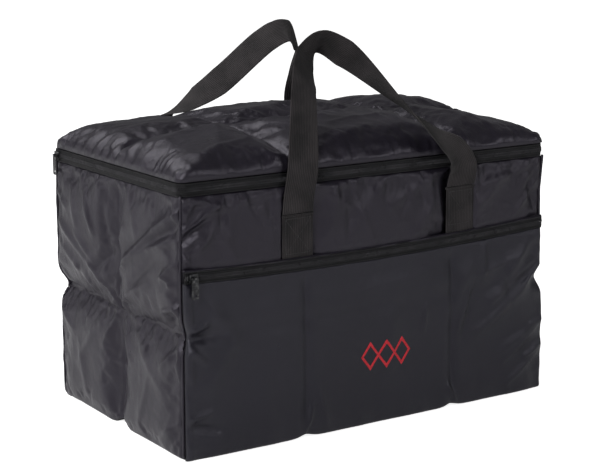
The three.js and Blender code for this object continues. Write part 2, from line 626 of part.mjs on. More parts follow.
function addHandles() {
  const handles = [
    { wall: "front", turn: 0, outward: -1, stations: FRONT_STRAP },
    { wall: "back", turn: Math.PI, outward: 1, stations: BACK_STRAP },
  ];
  for (const { wall, turn, outward, stations } of handles) {
    const patchY = ordered(outward * PATCH_FACE, outward * (PATCH_FACE + WEBBING));
    for (const [side, x] of Object.entries(PATCH_X[wall])) {
      const patchX = [x - WEBBING_WIDTH / 2, x + WEBBING_WIDTH / 2];
      add(`${wall}_${side}_patch`, block(patchX, patchY, [PATCH_LOW, PATCH_HIGH]), "webbing");
      const stitch = add(`${wall}_${side}_stitch`, boxStitch(), "thread");
      stitch.position.set(x, outward * (PATCH_FACE + WEBBING + CLEARANCE), (PATCH_LOW + PATCH_HIGH) / 2);
      stitch.rotation.z = turn;
      const fold = add(`${wall}_${side}_fold`, rod(WEBBING_WIDTH, FOLD_RADIUS), "webbing");
      fold.position.set(x, outward * FOLD_OUT, FOLD_HEIGHT);
    }
    add(`${wall}_handle`, strap(stations, outward), "webbing");
  }
}

// A row of embroidered lozenges, linked at their points
function addMotif() {
  const pitch = MOTIF_WIDTH - MOTIF_LINE;
  const first = (-pitch * (MOTIF_LOZENGES - 1)) / 2;
  const waist = (MOTIF_HEIGHT / 2) * (1 - pitch / MOTIF_WIDTH);
  const below = [];
  const windows = [];
  for (let index = 0; index < MOTIF_LOZENGES; index++) {
    const x = first + index * pitch;
    if (index > 0) below.push([x - pitch / 2, -waist]);
    below.push([x, -MOTIF_HEIGHT / 2]);
    const half = MOTIF_WIDTH / 2 - MOTIF_LINE;
    const high = (half * MOTIF_HEIGHT) / MOTIF_WIDTH;
    windows.push([[x - half, 0], [x, -high], [x + half, 0], [x, high]]);
  }
  const tip = MOTIF_WIDTH / 2 - first;
  const above = below.map(([x, z]) => [x, -z]).reverse();
  const shape = new THREE.Shape(outline([[-tip, 0], ...below, [tip, 0], ...above]));
  for (const window of windows) shape.holes.push(new THREE.Path(outline(window)));
  const motif = add("pocket_motif", standing(shape, THREAD), "embroidery");
  motif.position.set(MOTIF_CENTRE.x, -POCKET_FACE - CLEARANCE, MOTIF_CENTRE.z);
}

const lid = new THREE.Group();
bag.add(lid);
addWalls();
addBase();
addCornerPiping();
addMainZip(lid);
addHingeStrip();
addRimBinding();
addLid(lid);
addPocketPanel();
addPocketZip();
addSliders();
addHandles();
addMotif();

export default bag;
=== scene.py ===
"""The looks of a padded cajon bag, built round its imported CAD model. Metres; lengths below are in
millimetres where a name says nothing else, and go through MM when a mesh is made."""

import math

import bpy
import numpy as np
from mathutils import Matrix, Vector


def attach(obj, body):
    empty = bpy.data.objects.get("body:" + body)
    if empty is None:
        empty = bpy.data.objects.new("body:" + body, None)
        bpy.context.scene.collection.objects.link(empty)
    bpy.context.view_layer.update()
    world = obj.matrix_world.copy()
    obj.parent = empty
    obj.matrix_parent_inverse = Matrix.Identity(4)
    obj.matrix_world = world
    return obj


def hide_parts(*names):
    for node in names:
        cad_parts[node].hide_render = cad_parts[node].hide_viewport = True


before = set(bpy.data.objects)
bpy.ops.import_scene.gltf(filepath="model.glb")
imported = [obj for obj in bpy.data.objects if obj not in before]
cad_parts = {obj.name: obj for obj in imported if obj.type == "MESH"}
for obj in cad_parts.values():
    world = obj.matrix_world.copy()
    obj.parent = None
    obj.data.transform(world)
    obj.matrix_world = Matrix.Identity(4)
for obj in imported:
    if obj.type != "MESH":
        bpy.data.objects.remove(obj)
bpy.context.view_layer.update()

MM = 0.001

# The bag's own sizes, the same as in the CAD
LENGTH = 520
DEPTH = 302
RIM_HEIGHT = 312
WALL_SEAMS = (-98, 114)
LID_SEAMS = (-114, 109)
LEVEL_SEAM = 145
CLEARANCE = 0.35
FOAM_BACK = 9.35
LINING_DEPTH = (9.7, 10.5)
BAND_LOW = RIM_HEIGHT - 16
BAND_GAP = (RIM_HEIGHT - 8.6, RIM_HEIGHT - 7.4)
WALL_TOP = BAND_GAP[0] - CLEARANCE
SKIN_TOP = BAND_LOW - CLEARANCE
LID_OVERHANG = 2.5
POCKET_FACE = 156.9
POCKET_HALF = 257.8
POCKET_ZIP = (205, 220)
WEBBING_WIDTH = 42
WEBBING = 2
RIB_PITCH = 2.4
RIB_HEIGHT = 0.17
PATCH_X = {"front": (-107, 127), "back": (-115, 107)}
PATCH_FACE = 153.25
FOLD_OUT = PATCH_FACE + WEBBING / 2
FOLD_HEIGHT = 270
PATCH_TOP = FOLD_HEIGHT - 1.95
PATCH_RISE = {"front": (0, 5), "back": (0, 0)}

GRID = 2  # spacing of the points of a fabric surface
COARSE = 5  # and of the sheet that the cloth simulation moves


# Camera: fitted to the corners of the bag in the photograph

CAMERA_TURN = math.radians(-33.28)
CAMERA_RISE = math.radians(13.56)
CAMERA_DISTANCE = 2.5531
CAMERA_TARGET = Vector((-0.0025, 0, 0.198))
CAMERA_LENS = 123.53


def add_camera():
    data = bpy.data.cameras.new("camera")
    data.lens = CAMERA_LENS
    data.sensor_width = 36
    camera = bpy.data.objects.new("camera", data)
    bpy.context.scene.collection.objects.link(camera)
    back = Vector((
        math.sin(CAMERA_TURN) * math.cos(CAMERA_RISE),
        -math.cos(CAMERA_TURN) * math.cos(CAMERA_RISE),
        math.sin(CAMERA_RISE),
    ))
    camera.location = CAMERA_TARGET + back * CAMERA_DISTANCE
    camera.rotation_mode = "QUATERNION"
    camera.rotation_quaternion = (-back).to_track_quat("-Z", "Y")
    bpy.context.scene.camera = camera


# Meshes


def mesh_object(name, points, faces, material, uvs=None, smooth=True):
    """A mesh from points in millimetres; uvs has one pair per point, in millimetres too."""
    mesh = bpy.data.meshes.new(name)
    mesh.from_pydata((np.asarray(points, float) * MM).tolist(), [], faces)
    if uvs is not None:
        layer = mesh.uv_layers.new(name="UVMap")
        corners = np.zeros(len(mesh.loops), int)
        mesh.loops.foreach_get("vertex_index", corners)
        layer.data.foreach_set("uv", (np.asarray(uvs, float)[corners] * MM).ravel())
    mesh.polygons.foreach_set("use_smooth", [smooth] * len(mesh.polygons))
    mesh.materials.append(material)
    obj = bpy.data.objects.new(name, mesh)
    bpy.context.scene.collection.objects.link(obj)
    return obj


def grid_faces(rows, columns, start=0, flip=False, wrap=False):
    """Quads between the points of a grid stored row by row; wrap joins the last column to the first."""
    faces = []
    last = columns if wrap else columns - 1
    for j in range(rows - 1):
        for i in range(last):
            a = start + j * columns + i
            b = start + j * columns + (i + 1) % columns
            quad = (a, b, b + columns, a + columns)
            faces.append(quad[::-1] if flip else quad)
    return faces


def slab(name, outer, inner, material, uvs):
    """A closed piece between two grids of points, each rows x columns x 3, with U x V outward."""
    rows, columns, _ = outer.shape
    count = rows * columns
    faces = grid_faces(rows, columns) + grid_faces(rows, columns, count, flip=True)
    border = [i for i in range(columns)]
    border += [j * columns + columns - 1 for j in range(1, rows)]
    border += [(rows - 1) * columns + i for i in range(columns - 2, -1, -1)]
    border += [j * columns for j in range(rows - 2, 0, -1)]
    for a, b in zip(border, border[1:] + border[:1]):
        faces.append((b, a, a + count, b + count))
    points = np.concatenate([outer.reshape(-1, 3), inner.reshape(-1, 3)])
    flat = uvs.reshape(-1, 2)
    return mesh_object(name, points, faces, material, np.concatenate([flat, flat]))


def normals_of(grid):
    """Unit normals of a grid of points, along U x V."""
    across = np.gradient(grid, axis=1)
    up = np.gradient(grid, axis=0)
    normal = np.cross(across, up)
    return normal / np.maximum(np.linalg.norm(normal, axis=2, keepdims=True), 1e-9)


def steps_between(low, high, size):
    return np.linspace(low, high, max(2, int(round((high - low) / size)) + 1))


def plane(half_x, half_y, size):
    """The X and Y of a grid over a rectangle about the origin."""
    return np.meshgrid(steps_between(-half_x, half_x, size), steps_between(-half_y, half_y, size))


def to_edge(x, y, half_x, half_y):
    """Distance from points inside a rectangle to its nearest edge."""
    return np.minimum(half_x - np.abs(x), half_y - np.abs(y))


def together(*parts):
    """Coordinates of the same shape, joined into points."""
    return np.stack(parts, axis=-1)


def run_along(path):
    """Length along a path from its start to each of its points."""
    return np.concatenate([[0], np.cumsum(np.linalg.norm(np.diff(path, axis=0), axis=1))])


def point_at(places, run, path):
    """Points of a path at the given lengths along it."""
    return np.stack([np.interp(places, run, column) for column in path.T], axis=-1)


# Fabric shapes


def lattice_noise(u, v, cell_u, cell_v, seed):
    """Smooth random hills from -1 to 1 over a plane."""
    table = np.random.default_rng(seed).uniform(-1, 1, (97, 89))
    x, y = u / cell_u, v / cell_v
    i, j = np.floor(x).astype(int), np.floor(y).astype(int)
    p, q = x - i, y - j
    p, q = p * p * (3 - 2 * p), q * q * (3 - 2 * q)

    def at(a, b):
        return table[a % 97, b % 89]

    low = at(i, j) * (1 - p) + at(i + 1, j) * p
    high = at(i, j + 1) * (1 - p) + at(i + 1, j + 1) * p
    return low * (1 - q) + high * q


def gathers(along, away, pitch, height, reach, seed):
    """Puckers that run away from a seam, where the fabric is drawn up along it."""
    wave = lattice_noise(along, away, pitch, reach * 1.5, seed)
    fine = lattice_noise(along, away, pitch * 0.45, reach, seed + 1)
    return height * (wave + 0.45 * fine) * np.exp(-away / reach) * (1 - np.exp(-away / 1.2))


def crumpled(u, v, size, seed):
    """Sharp small ridges that wander and meet, from 0 to 1, as in thin fabric that was crushed."""
    bent_u = u + 0.7 * size * lattice_noise(u, v, 1.6 * size, 1.6 * size, seed + 1)
    bent_v = v + 0.7 * size * lattice_noise(u, v, 1.6 * size, 1.6 * size, seed + 2)
    return np.clip(1 - 2.2 * np.abs(lattice_noise(bent_u, bent_v, size, size, seed)), 0, 1) ** 1.5


def folds(u, v, lines):
    """Creases: each line is (u0, v0, u1, v1, height, width); a negative height is a valley."""
    lift = np.zeros_like(u)
    for u0, v0, u1, v1, height, width in lines:
        du, dv = u1 - u0, v1 - v0
        length = math.hypot(du, dv)
        share = np.clip(((u - u0) * du + (v - v0) * dv) / length**2, 0, 1)
        side = np.hypot(u - u0 - share * du, v - v0 - share * dv)
        taper = np.sqrt(np.maximum(np.sin(math.pi * (0.08 + 0.84 * share)), 0))
        lift += height * taper / (1 + (side / width) ** 2) ** 1.5
    return lift


def bell(value, width):
    return np.exp(-(value / width) ** 2)


def smoothstep(value, low, high):
    share = np.clip((value - low) / (high - low), 0, 1)
    return share * share * (3 - 2 * share)


def hump(position, lines, fullness=0.4):
    """1 halfway between two of the lines, 0 on a line and outside them."""
    result = np.zeros_like(position)
    for low, high in zip(lines, lines[1:]):
        share = np.clip((position - low) / (high - low), 0, 1)
        inside = (position > low) & (position < high)
        result = np.where(inside, (4 * share * (1 - share)) ** fullness, result)
    return result


def nearest(position, lines):
    """Distance to the nearest of the lines."""
    return np.min([np.abs(position - line) for line in lines], axis=0)


def blurred(field, size):
    """The field smoothed over size grid steps."""
    reach = int(size * 2.5)
    kernel = np.exp(-0.5 * (np.arange(-reach, reach + 1) / size) ** 2)
    kernel /= kernel.sum()
    for axis in (0, 1):
        padding = [(0, 0)] * field.ndim
        padding[axis] = (reach, reach)
        wide = np.pad(field, padding, mode="edge")
        field = np.apply_along_axis(lambda row: np.convolve(row, kernel, mode="valid"), axis, wide)
    return field


def resampled(field, rows, columns):
    """A field on a coarse grid, read by smooth interpolation on a finer one over the same area."""
    for axis, count in ((0, rows), (1, columns)):
        old = field.shape[axis]
        place = np.linspace(0, old - 1, count)
        base = np.clip(np.floor(place).astype(int), 0, old - 2)
        t = (place - base).reshape([-1 if a == axis else 1 for a in range(field.ndim)])
        p = [np.take(field, np.clip(base + k, 0, old - 1), axis=axis) for k in (-1, 0, 1, 2)]
        cube = 3 * (p[1] - p[2]) + p[3] - p[0]
        square = 2 * p[0] - 5 * p[1] + 4 * p[2] - p[3]
        field = p[1] + 0.5 * t * (p[2] - p[0] + t * (square + t * cube))
    return field


# How the soft bag departs from its square shape: the rim stands higher at its front left corner, the
# pocket's zip sags between its ends, and the ends lean a little

RIM_RISE = {(-1, -1): 11, (-1, 1): 2.5, (1, -1): 2, (1, 1): -2}
ZIP_RISE = 4
ZIP_SAG = 6.5
RIGHT_LEAN = 4.5
LEFT_SWELL = 1.5
LEFT_SINK = 2.5


def rim_rise(x, y):
    right = np.clip(x / LENGTH + 0.5, 0, 1)
    back = np.clip(y / DEPTH + 0.5, 0, 1)
    left_side = RIM_RISE[-1, -1] * (1 - back) + RIM_RISE[-1, 1] * back
    right_side = RIM_RISE[1, -1] * (1 - back) + RIM_RISE[1, 1] * back
    return left_side * (1 - right) + right_side * right


def zip_rise(x):
    return ZIP_RISE - ZIP_SAG * np.clip(1 - (x / POCKET_HALF) ** 2, 0, 1)


def slumped(points):
    """Points in millimetres, moved from the bag's square shape to the way it stands."""
    x, y, z = points.T
    at_rim = smoothstep(z, FOLD_HEIGHT - 20, BAND_LOW)
    at_zip = smoothstep(z, LEVEL_SEAM - 50, POCKET_ZIP[0]) * (1 - smoothstep(z, POCKET_ZIP[1], FOLD_HEIGHT))
    lift = rim_rise(x, y) * at_rim + zip_rise(x) * at_zip * smoothstep(-y, 100, 150)
    above = smoothstep(z, LEVEL_SEAM - 15, LEVEL_SEAM + 35)
    back = np.clip(y / DEPTH + 0.5, 0, 1)
    left = LEFT_SINK * (1 - above) * back - LEFT_SWELL * above * (1 - at_rim)
    right = -RIGHT_LEAN * above * (1 - 0.7 * at_rim)
    shift = left * smoothstep(-x, 120, 245) + right * smoothstep(x, 120, 245)
    return np.column_stack([x + shift, y, z + lift])


def slump(obj):
    points = np.zeros(len(obj.data.vertices) * 3)
    obj.data.vertices.foreach_get("co", points)
    points = slumped(points.reshape(-1, 3) / MM) * MM
    obj.data.vertices.foreach_set("co", points.ravel())
    obj.data.update()


# Cloth simulation of one sheet: held along its seams, a little larger than its place, blown out

CLOTH_FRAMES = 18
CLOTH = {"quality": 5, "mass": 0.15, "tension_stiffness": 15, "compression_stiffness": 15,
         "shear_stiffness": 5, "bending_stiffness": 0.2, "vertex_group_mass": "held",
         "use_pressure": True, "uniform_pressure_force": 3}


def settled(grid, held, slack):
    """How far each point of a coarse grid moves along its normal when the loose fabric settles."""
    rows, columns, _ = grid.shape
    sheet = mesh_object("settling", grid.reshape(-1, 3), grid_faces(rows, columns), None)
    group = sheet.vertex_groups.new(name="held")
    group.add([int(i) for i in np.flatnonzero(held.ravel())], 1, "REPLACE")
    cloth = sheet.modifiers.new("cloth", "CLOTH")
    for setting, value in CLOTH.items():
        setattr(cloth.settings, setting, value)
    cloth.settings.shrink_min = -slack
    cloth.settings.effector_weights.gravity = 0
    cloth.collision_settings.use_collision = False
    cloth.point_cache.frame_end = CLOTH_FRAMES
    for step in range(1, CLOTH_FRAMES + 1):
        bpy.context.scene.frame_set(step)
    shaped = sheet.evaluated_get(bpy.context.evaluated_depsgraph_get()).data
    points = np.zeros(rows * columns * 3)
    shaped.vertices.foreach_get("co", points)
    bpy.data.objects.remove(sheet)
    bpy.context.scene.frame_set(1)
    moved = points.reshape(rows, columns, 3) / MM - grid
    return (moved * normals_of(grid)).sum(axis=2)


# Materials


class Finish:
    """A node material under construction: one Principled shader and what feeds it."""

    def __init__(self, name, roughness, **sockets):
        self.material = bpy.data.materials.new(name)
        self.material.use_nodes = True
        self.nodes = self.material.node_tree.nodes
        self.links = self.material.node_tree.links
        self.shader = self.nodes["Principled BSDF"]
        self.shader.inputs["Roughness"].default_value = roughness
        for socket, value in sockets.items():
            self.shader.inputs[socket.replace("_", " ")].default_value = value
        self.uv = self.nodes.new("ShaderNodeUVMap").outputs["UV"]
        self.place = self.nodes.new("ShaderNodeTexCoord").outputs["Object"]
        self.relief = None

    def node(self, kind, inputs=None, **settings):
        node = self.nodes.new("ShaderNode" + kind)
        for name, value in settings.items():
            setattr(node, name, value)
        for name, value in (inputs or {}).items():
            if isinstance(value, bpy.types.NodeSocket):
                self.links.new(value, node.inputs[name])
            else:
                node.inputs[name].default_value = value
        return node

    def scaled(self, vector, scale, turn=0):
        inputs = {"Vector": vector, "Scale": scale, "Rotation": (0, 0, turn)}
        return self.node("Mapping", inputs).outputs["Vector"]

    def noise(self, vector, scale, detail=3, roughness=0.5, distortion=0):
        inputs = {"Vector": vector, "Scale": scale, "Detail": detail, "Roughness": roughness}
        inputs["Distortion"] = distortion
        return self.node("TexNoise", inputs).outputs["Fac"]

    def wave(self, vector, scale, direction="X", distortion=0):
        inputs = {"Vector": vector, "Scale": scale, "Distortion": distortion}
        return self.node("TexWave", inputs, bands_direction=direction).outputs["Fac"]

    def maths(self, operation, a, b):
        node = self.node("Math", operation=operation)
        for socket, value in zip(node.inputs, (a, b)):
            if isinstance(value, bpy.types.NodeSocket):
                self.links.new(value, socket)
            else:
                socket.default_value = value
        return node.outputs[0]

    def ranged(self, value, low, high, to_low, to_high):
        inputs = {"Value": value, "From Min": low, "From Max": high, "To Min": to_low, "To Max": to_high}
        return self.node("MapRange", inputs).outputs["Result"]

    def colours(self, factor, dark, light):
        ramp = self.node("ValToRGB", {"Fac": factor})
        ramp.color_ramp.elements[0].color = (*dark, 1)
        ramp.color_ramp.elements[1].color = (*light, 1)
        ramp.color_ramp.elements[0].position = 0.25
        ramp.color_ramp.elements[1].position = 0.75
        self.links.new(ramp.outputs["Color"], self.shader.inputs["Base Color"])

    def rough(self, factor, low, high):
        self.links.new(self.ranged(factor, 0.25, 0.75, low, high), self.shader.inputs["Roughness"])

    def bump(self, height, distance, strength=1.0):
        """Adds relief, in millimetres at full height."""
        inputs = {"Height": height, "Distance": distance * MM, "Strength": strength}
        if self.relief:
            inputs["Normal"] = self.relief
        self.relief = self.node("Bump", inputs).outputs["Normal"]
        self.links.new(self.relief, self.shader.inputs["Normal"])

    def plain_weave(self, pitch, depth):
        """Threads over and under each other, one every pitch millimetres."""
        scale = (1 / (pitch * MM),) * 3
        cells = self.node("TexChecker", {"Vector": self.scaled(self.uv, scale), "Scale": 1}).outputs["Fac"]
        turns = [self.wave(self.scaled(self.uv, scale), math.pi / 10, way) for way in "XY"]
        threads = self.node("Mix", {"Factor": cells, "A": turns[0], "B": turns[1]}).outputs["Result"]
        self.bump(threads, depth)
        return threads

    def lines(self, pitch, direction="X", turn=0, distortion=0):
        """Parallel ribs, one every pitch millimetres."""
        scale = (1 / (pitch * MM),) * 3
        return self.wave(self.scaled(self.uv, scale, turn), math.pi / 10, direction, distortion)


def nylon(name, dark, light, tint, crinkle=1):
    """Thin coated nylon: a soft sheen, fine crinkles and a close weave."""
    made = Finish(name, 0.34, Specular_IOR_Level=0.5, Specular_Tint=(*tint, 1),
                  Sheen_Weight=0.04, Sheen_Roughness=0.35, Sheen_Tint=(*tint, 1))
    clouds = made.noise(made.place, 9, 4, 0.55)
    made.colours(clouds, dark, light)
    inputs = {"Vector": made.place, "Scale": 24, "Detail": 3, "Distortion": 0.5}
    ridges = made.node("TexNoise", inputs, noise_type="RIDGED_MULTIFRACTAL", normalize=True)
    made.bump(ridges.outputs["Fac"], 1.1 * crinkle, 0.7)
    made.bump(made.noise(made.place, 60, 4, 0.5, 0.6), 1.1 * crinkle, 0.6)
    made.bump(made.noise(made.place, 190, 2, 0.5, 0.3), 0.25 * crinkle, 0.6)
    made.plain_weave(0.5, 0.04)
    made.rough(made.noise(made.place, 26, 3), 0.27, 0.4)
    return made.material


def lining_cloth():
    made = Finish("lining", 0.62)
    made.colours(made.noise(made.place, 14), (0.03, 0.029, 0.032), (0.045, 0.043, 0.048))
    made.bump(made.noise(made.place, 60, 4, 0.6, 0.5), 1.2, 0.5)
    made.plain_weave(0.7, 0.07)
    return made.material


def webbing_cloth():
    """Black webbing: lengthwise ribs crossed by fine picks, duller and paler where it is rubbed, and
    painted lighter along the ribs and darker between them as highlight and shade.
    """
    made = Finish("webbing", 0.7, Sheen_Weight=0.1, Sheen_Roughness=0.5, Specular_IOR_Level=0.2)
    ribs = made.lines(RIB_PITCH, "X")
    picks = made.lines(0.9, "Y", distortion=0.4)
    made.bump(ribs, 0.16, 0.9)
    made.bump(picks, 0.1, 0.8)
    # Random paler patches of wear, times the ribs' waves: a painted highlight on each rib and painted shade
    # between them.
    wear_and_rib_shade = made.maths("MULTIPLY", made.noise(made.place, 35, 4), made.ranged(ribs, 0, 1, 0.5, 1.3))
    made.colours(wear_and_rib_shade, (0.0045, 0.0040, 0.0044), (0.0380, 0.0325, 0.0345))
    made.bump(made.noise(made.place, 900, 2), 0.08, 0.6)
    return made.material


def tape_cloth():
    """Zip tape: a fine twill."""
    made = Finish("zip_tape", 0.5, Sheen_Weight=0.03, Specular_IOR_Level=0.15)
    twill = made.lines(0.9, "X", math.radians(52))
    made.bump(twill, 0.12, 0.9)
    made.colours(made.noise(made.place, 40, 3), (0.0030, 0.0029, 0.0036), (0.0065, 0.0062, 0.0076))
    made.rough(made.noise(made.place, 60, 2), 0.42, 0.6)
    return made.material


def coil_plastic_painted_highlight():
    made = Finish("zip_coil", 0.3)
    # Painted paler than the tape: the lighter colour is a painted highlight along the row of teeth.
    made.colours(made.noise(made.place, 70, 2), (0.012, 0.012, 0.014), (0.042, 0.040, 0.045))
    made.bump(made.noise(made.place, 700, 2), 0.05, 0.5)
    made.rough(made.noise(made.place, 120, 2), 0.22, 0.42)
    return made.material


def coated_metal():
    """Black enamel over cast zinc, with paler metal where it has rubbed through."""
    made = Finish("zip_metal", 0.32, Metallic=0.55, Coat_Weight=0.3, Coat_Roughness=0.2)
    wear = made.noise(made.place, 420, 5, 0.65)
    made.colours(made.ranged(wear, 0.45, 0.85, 0.2, 0.9), (0.014, 0.014, 0.016), (0.16, 0.16, 0.165))
    made.bump(made.noise(made.place, 900, 3), 0.03, 0.5)
    made.rough(made.noise(made.place, 300, 3), 0.22, 0.45)
    return made.material


def thread_finish(name, dark, light):
    """Twisted polyester thread."""
    made = Finish(name, 0.6, Sheen_Weight=0.1)
    made.colours(made.noise(made.place, 500, 2), dark, light)
    made.bump(made.noise(made.place, 1600, 2), 0.06, 0.6)
    return made.material


LOOKS = {
    "nylon": nylon("nylon", (0.0074, 0.0061, 0.0098), (0.0118, 0.0100, 0.0156), (0.92, 0.87, 1)),
    "pocket": nylon("pocket_nylon", (0.0064, 0.0060, 0.0096), (0.0092, 0.0086, 0.0132),
                    (0.9, 0.88, 1), 0.8),
    "lining": lining_cloth(),
    "webbing": webbing_cloth(),
    "zip_tape": tape_cloth(),
    "zip_coil": coil_plastic_painted_highlight(),
    "zip_metal": coated_metal(),
    "thread": thread_finish("thread", (0.016, 0.015, 0.017), (0.034, 0.032, 0.035)),
    "embroidery": thread_finish("embroidery", (0.42, 0.006, 0.014), (0.72, 0.02, 0.04)),
}


def finished(obj, body="body", replaces=()):
    """Says what a finished piece rides on and which CAD nodes it stands for."""
    if body in ("body", "lid"):
        slump(obj)
    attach(obj, body)
    if replaces:
        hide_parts(*replaces)
    return obj


# Pitch, length and width of the stitches
QUILT_THREAD = (3.4, 2.4, 0.6)
LID_THREAD = (3.4, 2.4, 0.5)
ZIP_THREAD = (2.6, 1.9, 0.45)
HINGE_THREAD = (3.0, 2.1, 0.45)
BOX_THREAD = (2.8, 2.2, 0.6)


# Walls: quilted skins over foam, drawn in along their seams and rolled under at the foot

FOOT_FLAT = 9
FOOT_RADIUS = 5
FOOT_LIFT = 0.4
BELLY = 2.2
CORNER_GAP = 1.9
SEAM_PULL = 6.5
SEAM_WIDTH = 16
CREASE_DEPTH = 2.6
CREASE_WIDTH = 2
PUFF = 3.2
CINCH = 7.5
CINCH_HEIGHT = 13
CINCH_REACH = 26

WALLS = {
    "front": {"turn": 0, "offset": DEPTH / 2, "half": LENGTH / 2, "seams": WALL_SEAMS,
              "seed": 11, "crush": 0.9},
    "back": {"turn": 180, "offset": DEPTH / 2, "half": LENGTH / 2, "seams": (-114, 98),
             "seed": 23, "crush": 0.5},
    "left": {"turn": -90, "offset": LENGTH / 2, "half": DEPTH / 2, "seams": (0,), "seed": 37, "crush": 0.5},
    "right": {"turn": 90, "offset": LENGTH / 2, "half": DEPTH / 2, "seams": (0,), "seed": 53, "crush": 0.5},
}
# Creases seen in the photograph, in U along the wall and Z: (u0, z0, u1, z1, height, width), and how
# much they are heightened
WALL_FOLD_GAIN = 1.4
WALL_FOLDS = {
    "front": [
        (-256, 266, -234, 276, 4.2, 3), (-234, 276, -206, 288, 3.2, 4), (-256, 257, -228, 272, -3.4, 4),
        (-256, 248, -240, 258, 3.6, 3.5), (-250, 236, -222, 262, 2.8, 6), (-256, 238, -250, 228, 2.6, 3),
        (-240, 290, -200, 282, 2.8, 4), (-200, 284, -150, 289, 2.0, 4), (-190, 226, -208, 262, 2.0, 9),
        (20, 262, 90, 289, 1.6, 6), (94, 282, 104, 226, 2.4, 6), (150, 270, 240, 288, 2.4, 6),
        (216, 232, 250, 268, 2.6, 6), (150, 244, 200, 282, 1.8, 8), (-70, 288, -20, 262, 1.6, 6),
        (60, 226, 84, 262, 1.8, 8), (250, 236, 236, 268, -2.2, 5),
    ],
    "left": [
        (148, 281, 104, 262, 4.2, 5), (104, 262, 60, 230, 4.0, 5), (60, 230, 12, 192, 3.4, 6),
        (12, 192, -22, 181, 2.0, 5), (148, 270, 100, 250, -3.2, 5), (148, 258, 92, 238, 3.6, 5),
        (92, 238, 34, 214, 3.0, 6), (100, 226, 50, 190, -2.2, 7), (30, 252, 8, 226, 2.4, 5),
        (88, 196, 12, 160, 2.6, 6), (146, 226, 118, 208, 3.2, 5), (122, 212, 138, 200, 2.6, 4),
        (146, 176, 112, 168, 3.2, 4), (146, 166, 120, 156, -2.2, 4), (50, 276, 62, 244, 1.4, 7),
        (-66, 274, -44, 230, 3.0, 6), (-134, 228, -56, 190, 3.2, 7), (-56, 190, -28, 170, 2.8, 5),
        (-90, 222, -48, 196, 2.6, 6), (-100, 272, -84, 226, 2.2, 8), (-26, 262, -14, 204, -2.4, 7),
        (-14, 214, -40, 186, -2.6, 6), (-146, 262, -116, 250, 2.2, 5), (-120, 196, -60, 160, 2.4, 7),
        (12, 134, 34, 92, 2.6, 6), (34, 138, 112, 74, 2.0, 10), (-12, 132, -30, 96, 2.8, 6),
        (-34, 134, -92, 60, 2.0, 10), (140, 130, 112, 104, 2.8, 5), (146, 44, 118, 26, 2.8, 5),
        (-146, 120, -110, 96, 2.0, 6), (60, 24, 84, 92, 1.6, 9), (-70, 22, -92, 80, 1.6, 9),
    ],
    "right": [
        (-146, 262, -92, 236, 3.0, 6), (-120, 230, -14, 150, 2.6, 8), (140, 254, 70, 230, 2.6, 7),
        (16, 210, 66, 152, 2.2, 8), (-28, 138, -100, 70, 2.0, 9), (20, 136, 92, 52, 2.0, 9),
    ],
    "back": [
        (-250, 262, -180, 236, 2.8, 6), (-150, 250, -112, 156, 2.2, 9), (240, 262, 180, 222, 2.8, 7),
        (-30, 262, 60, 230, 2.0, 8), (100, 220, 30, 152, 2.2, 8), (-200, 136, -130, 60, 2.0, 9),
        (130, 138, 210, 64, 2.2, 9), (-20, 130, 40, 50, 1.8, 10),
    ],
}


def foot_profile(v):
    """Depth behind the wall's face, height and outward direction, v along the skin from under the foot."""
    bend = FOOT_RADIUS * math.pi / 2
    angle = np.clip((v - FOOT_FLAT) / FOOT_RADIUS, 0, math.pi / 2)
    depth = FOOT_RADIUS * (1 - np.sin(angle)) + np.maximum(FOOT_FLAT - v, 0)
    rise = np.maximum(v - FOOT_FLAT - bend, 0)
    height = FOOT_LIFT + FOOT_RADIUS * (1 - np.cos(angle)) + rise
    return depth, height, -np.sin(angle), -np.cos(angle)


def foot_length(top):
    return top - FOOT_LIFT - FOOT_RADIUS + FOOT_FLAT + FOOT_RADIUS * math.pi / 2


def stood_up(u, depth, z, wall):
    """Points of a wall, from its own U, depth and height."""
    turn = math.radians(wall["turn"])
    y = depth - wall["offset"]
    return together(
        u * math.cos(turn) - y * math.sin(turn),
        u * math.sin(turn) + y * math.cos(turn),
        z,
    )


def cinched(points):
    """Draws the bag's upright corners in where the level seam runs round it."""
    x, y, z = points[..., 0], points[..., 1], points[..., 2]
    from_corner = np.hypot(np.maximum(LENGTH / 2 - np.abs(x), 0), np.maximum(DEPTH / 2 - np.abs(y), 0))
    tight = CINCH * bell(z - LEVEL_SEAM, CINCH_HEIGHT) * np.exp(-from_corner / CINCH_REACH)
    return points - together(np.sign(x) * tight, np.sign(y) * tight, np.zeros_like(z))


def quilting(u, z, wall):
    """How far the quilted skin stands out from the wall's face, in and about its seams."""
    half = wall["half"]
    lines = [-half, *wall["seams"], half]
    levels = [0, LEVEL_SEAM, SKIN_TOP]
    inside = smoothstep(half - np.abs(u), 2, 22)
    upright = nearest(u, wall["seams"])
    level = np.abs(z - LEVEL_SEAM)
    valley = np.maximum(
        bell(upright, SEAM_WIDTH) * smoothstep(SKIN_TOP - z, 0, 20),
        bell(level, SEAM_WIDTH) * (0.4 + 0.6 * inside),
    )
    crease = np.maximum(
        np.exp(-upright / CREASE_WIDTH) * smoothstep(SKIN_TOP - z, 0, 12),
        np.exp(-level / CREASE_WIDTH),
    )
    return PUFF * hump(u, lines) * hump(z, levels) - SEAM_PULL * valley - CREASE_DEPTH * crease


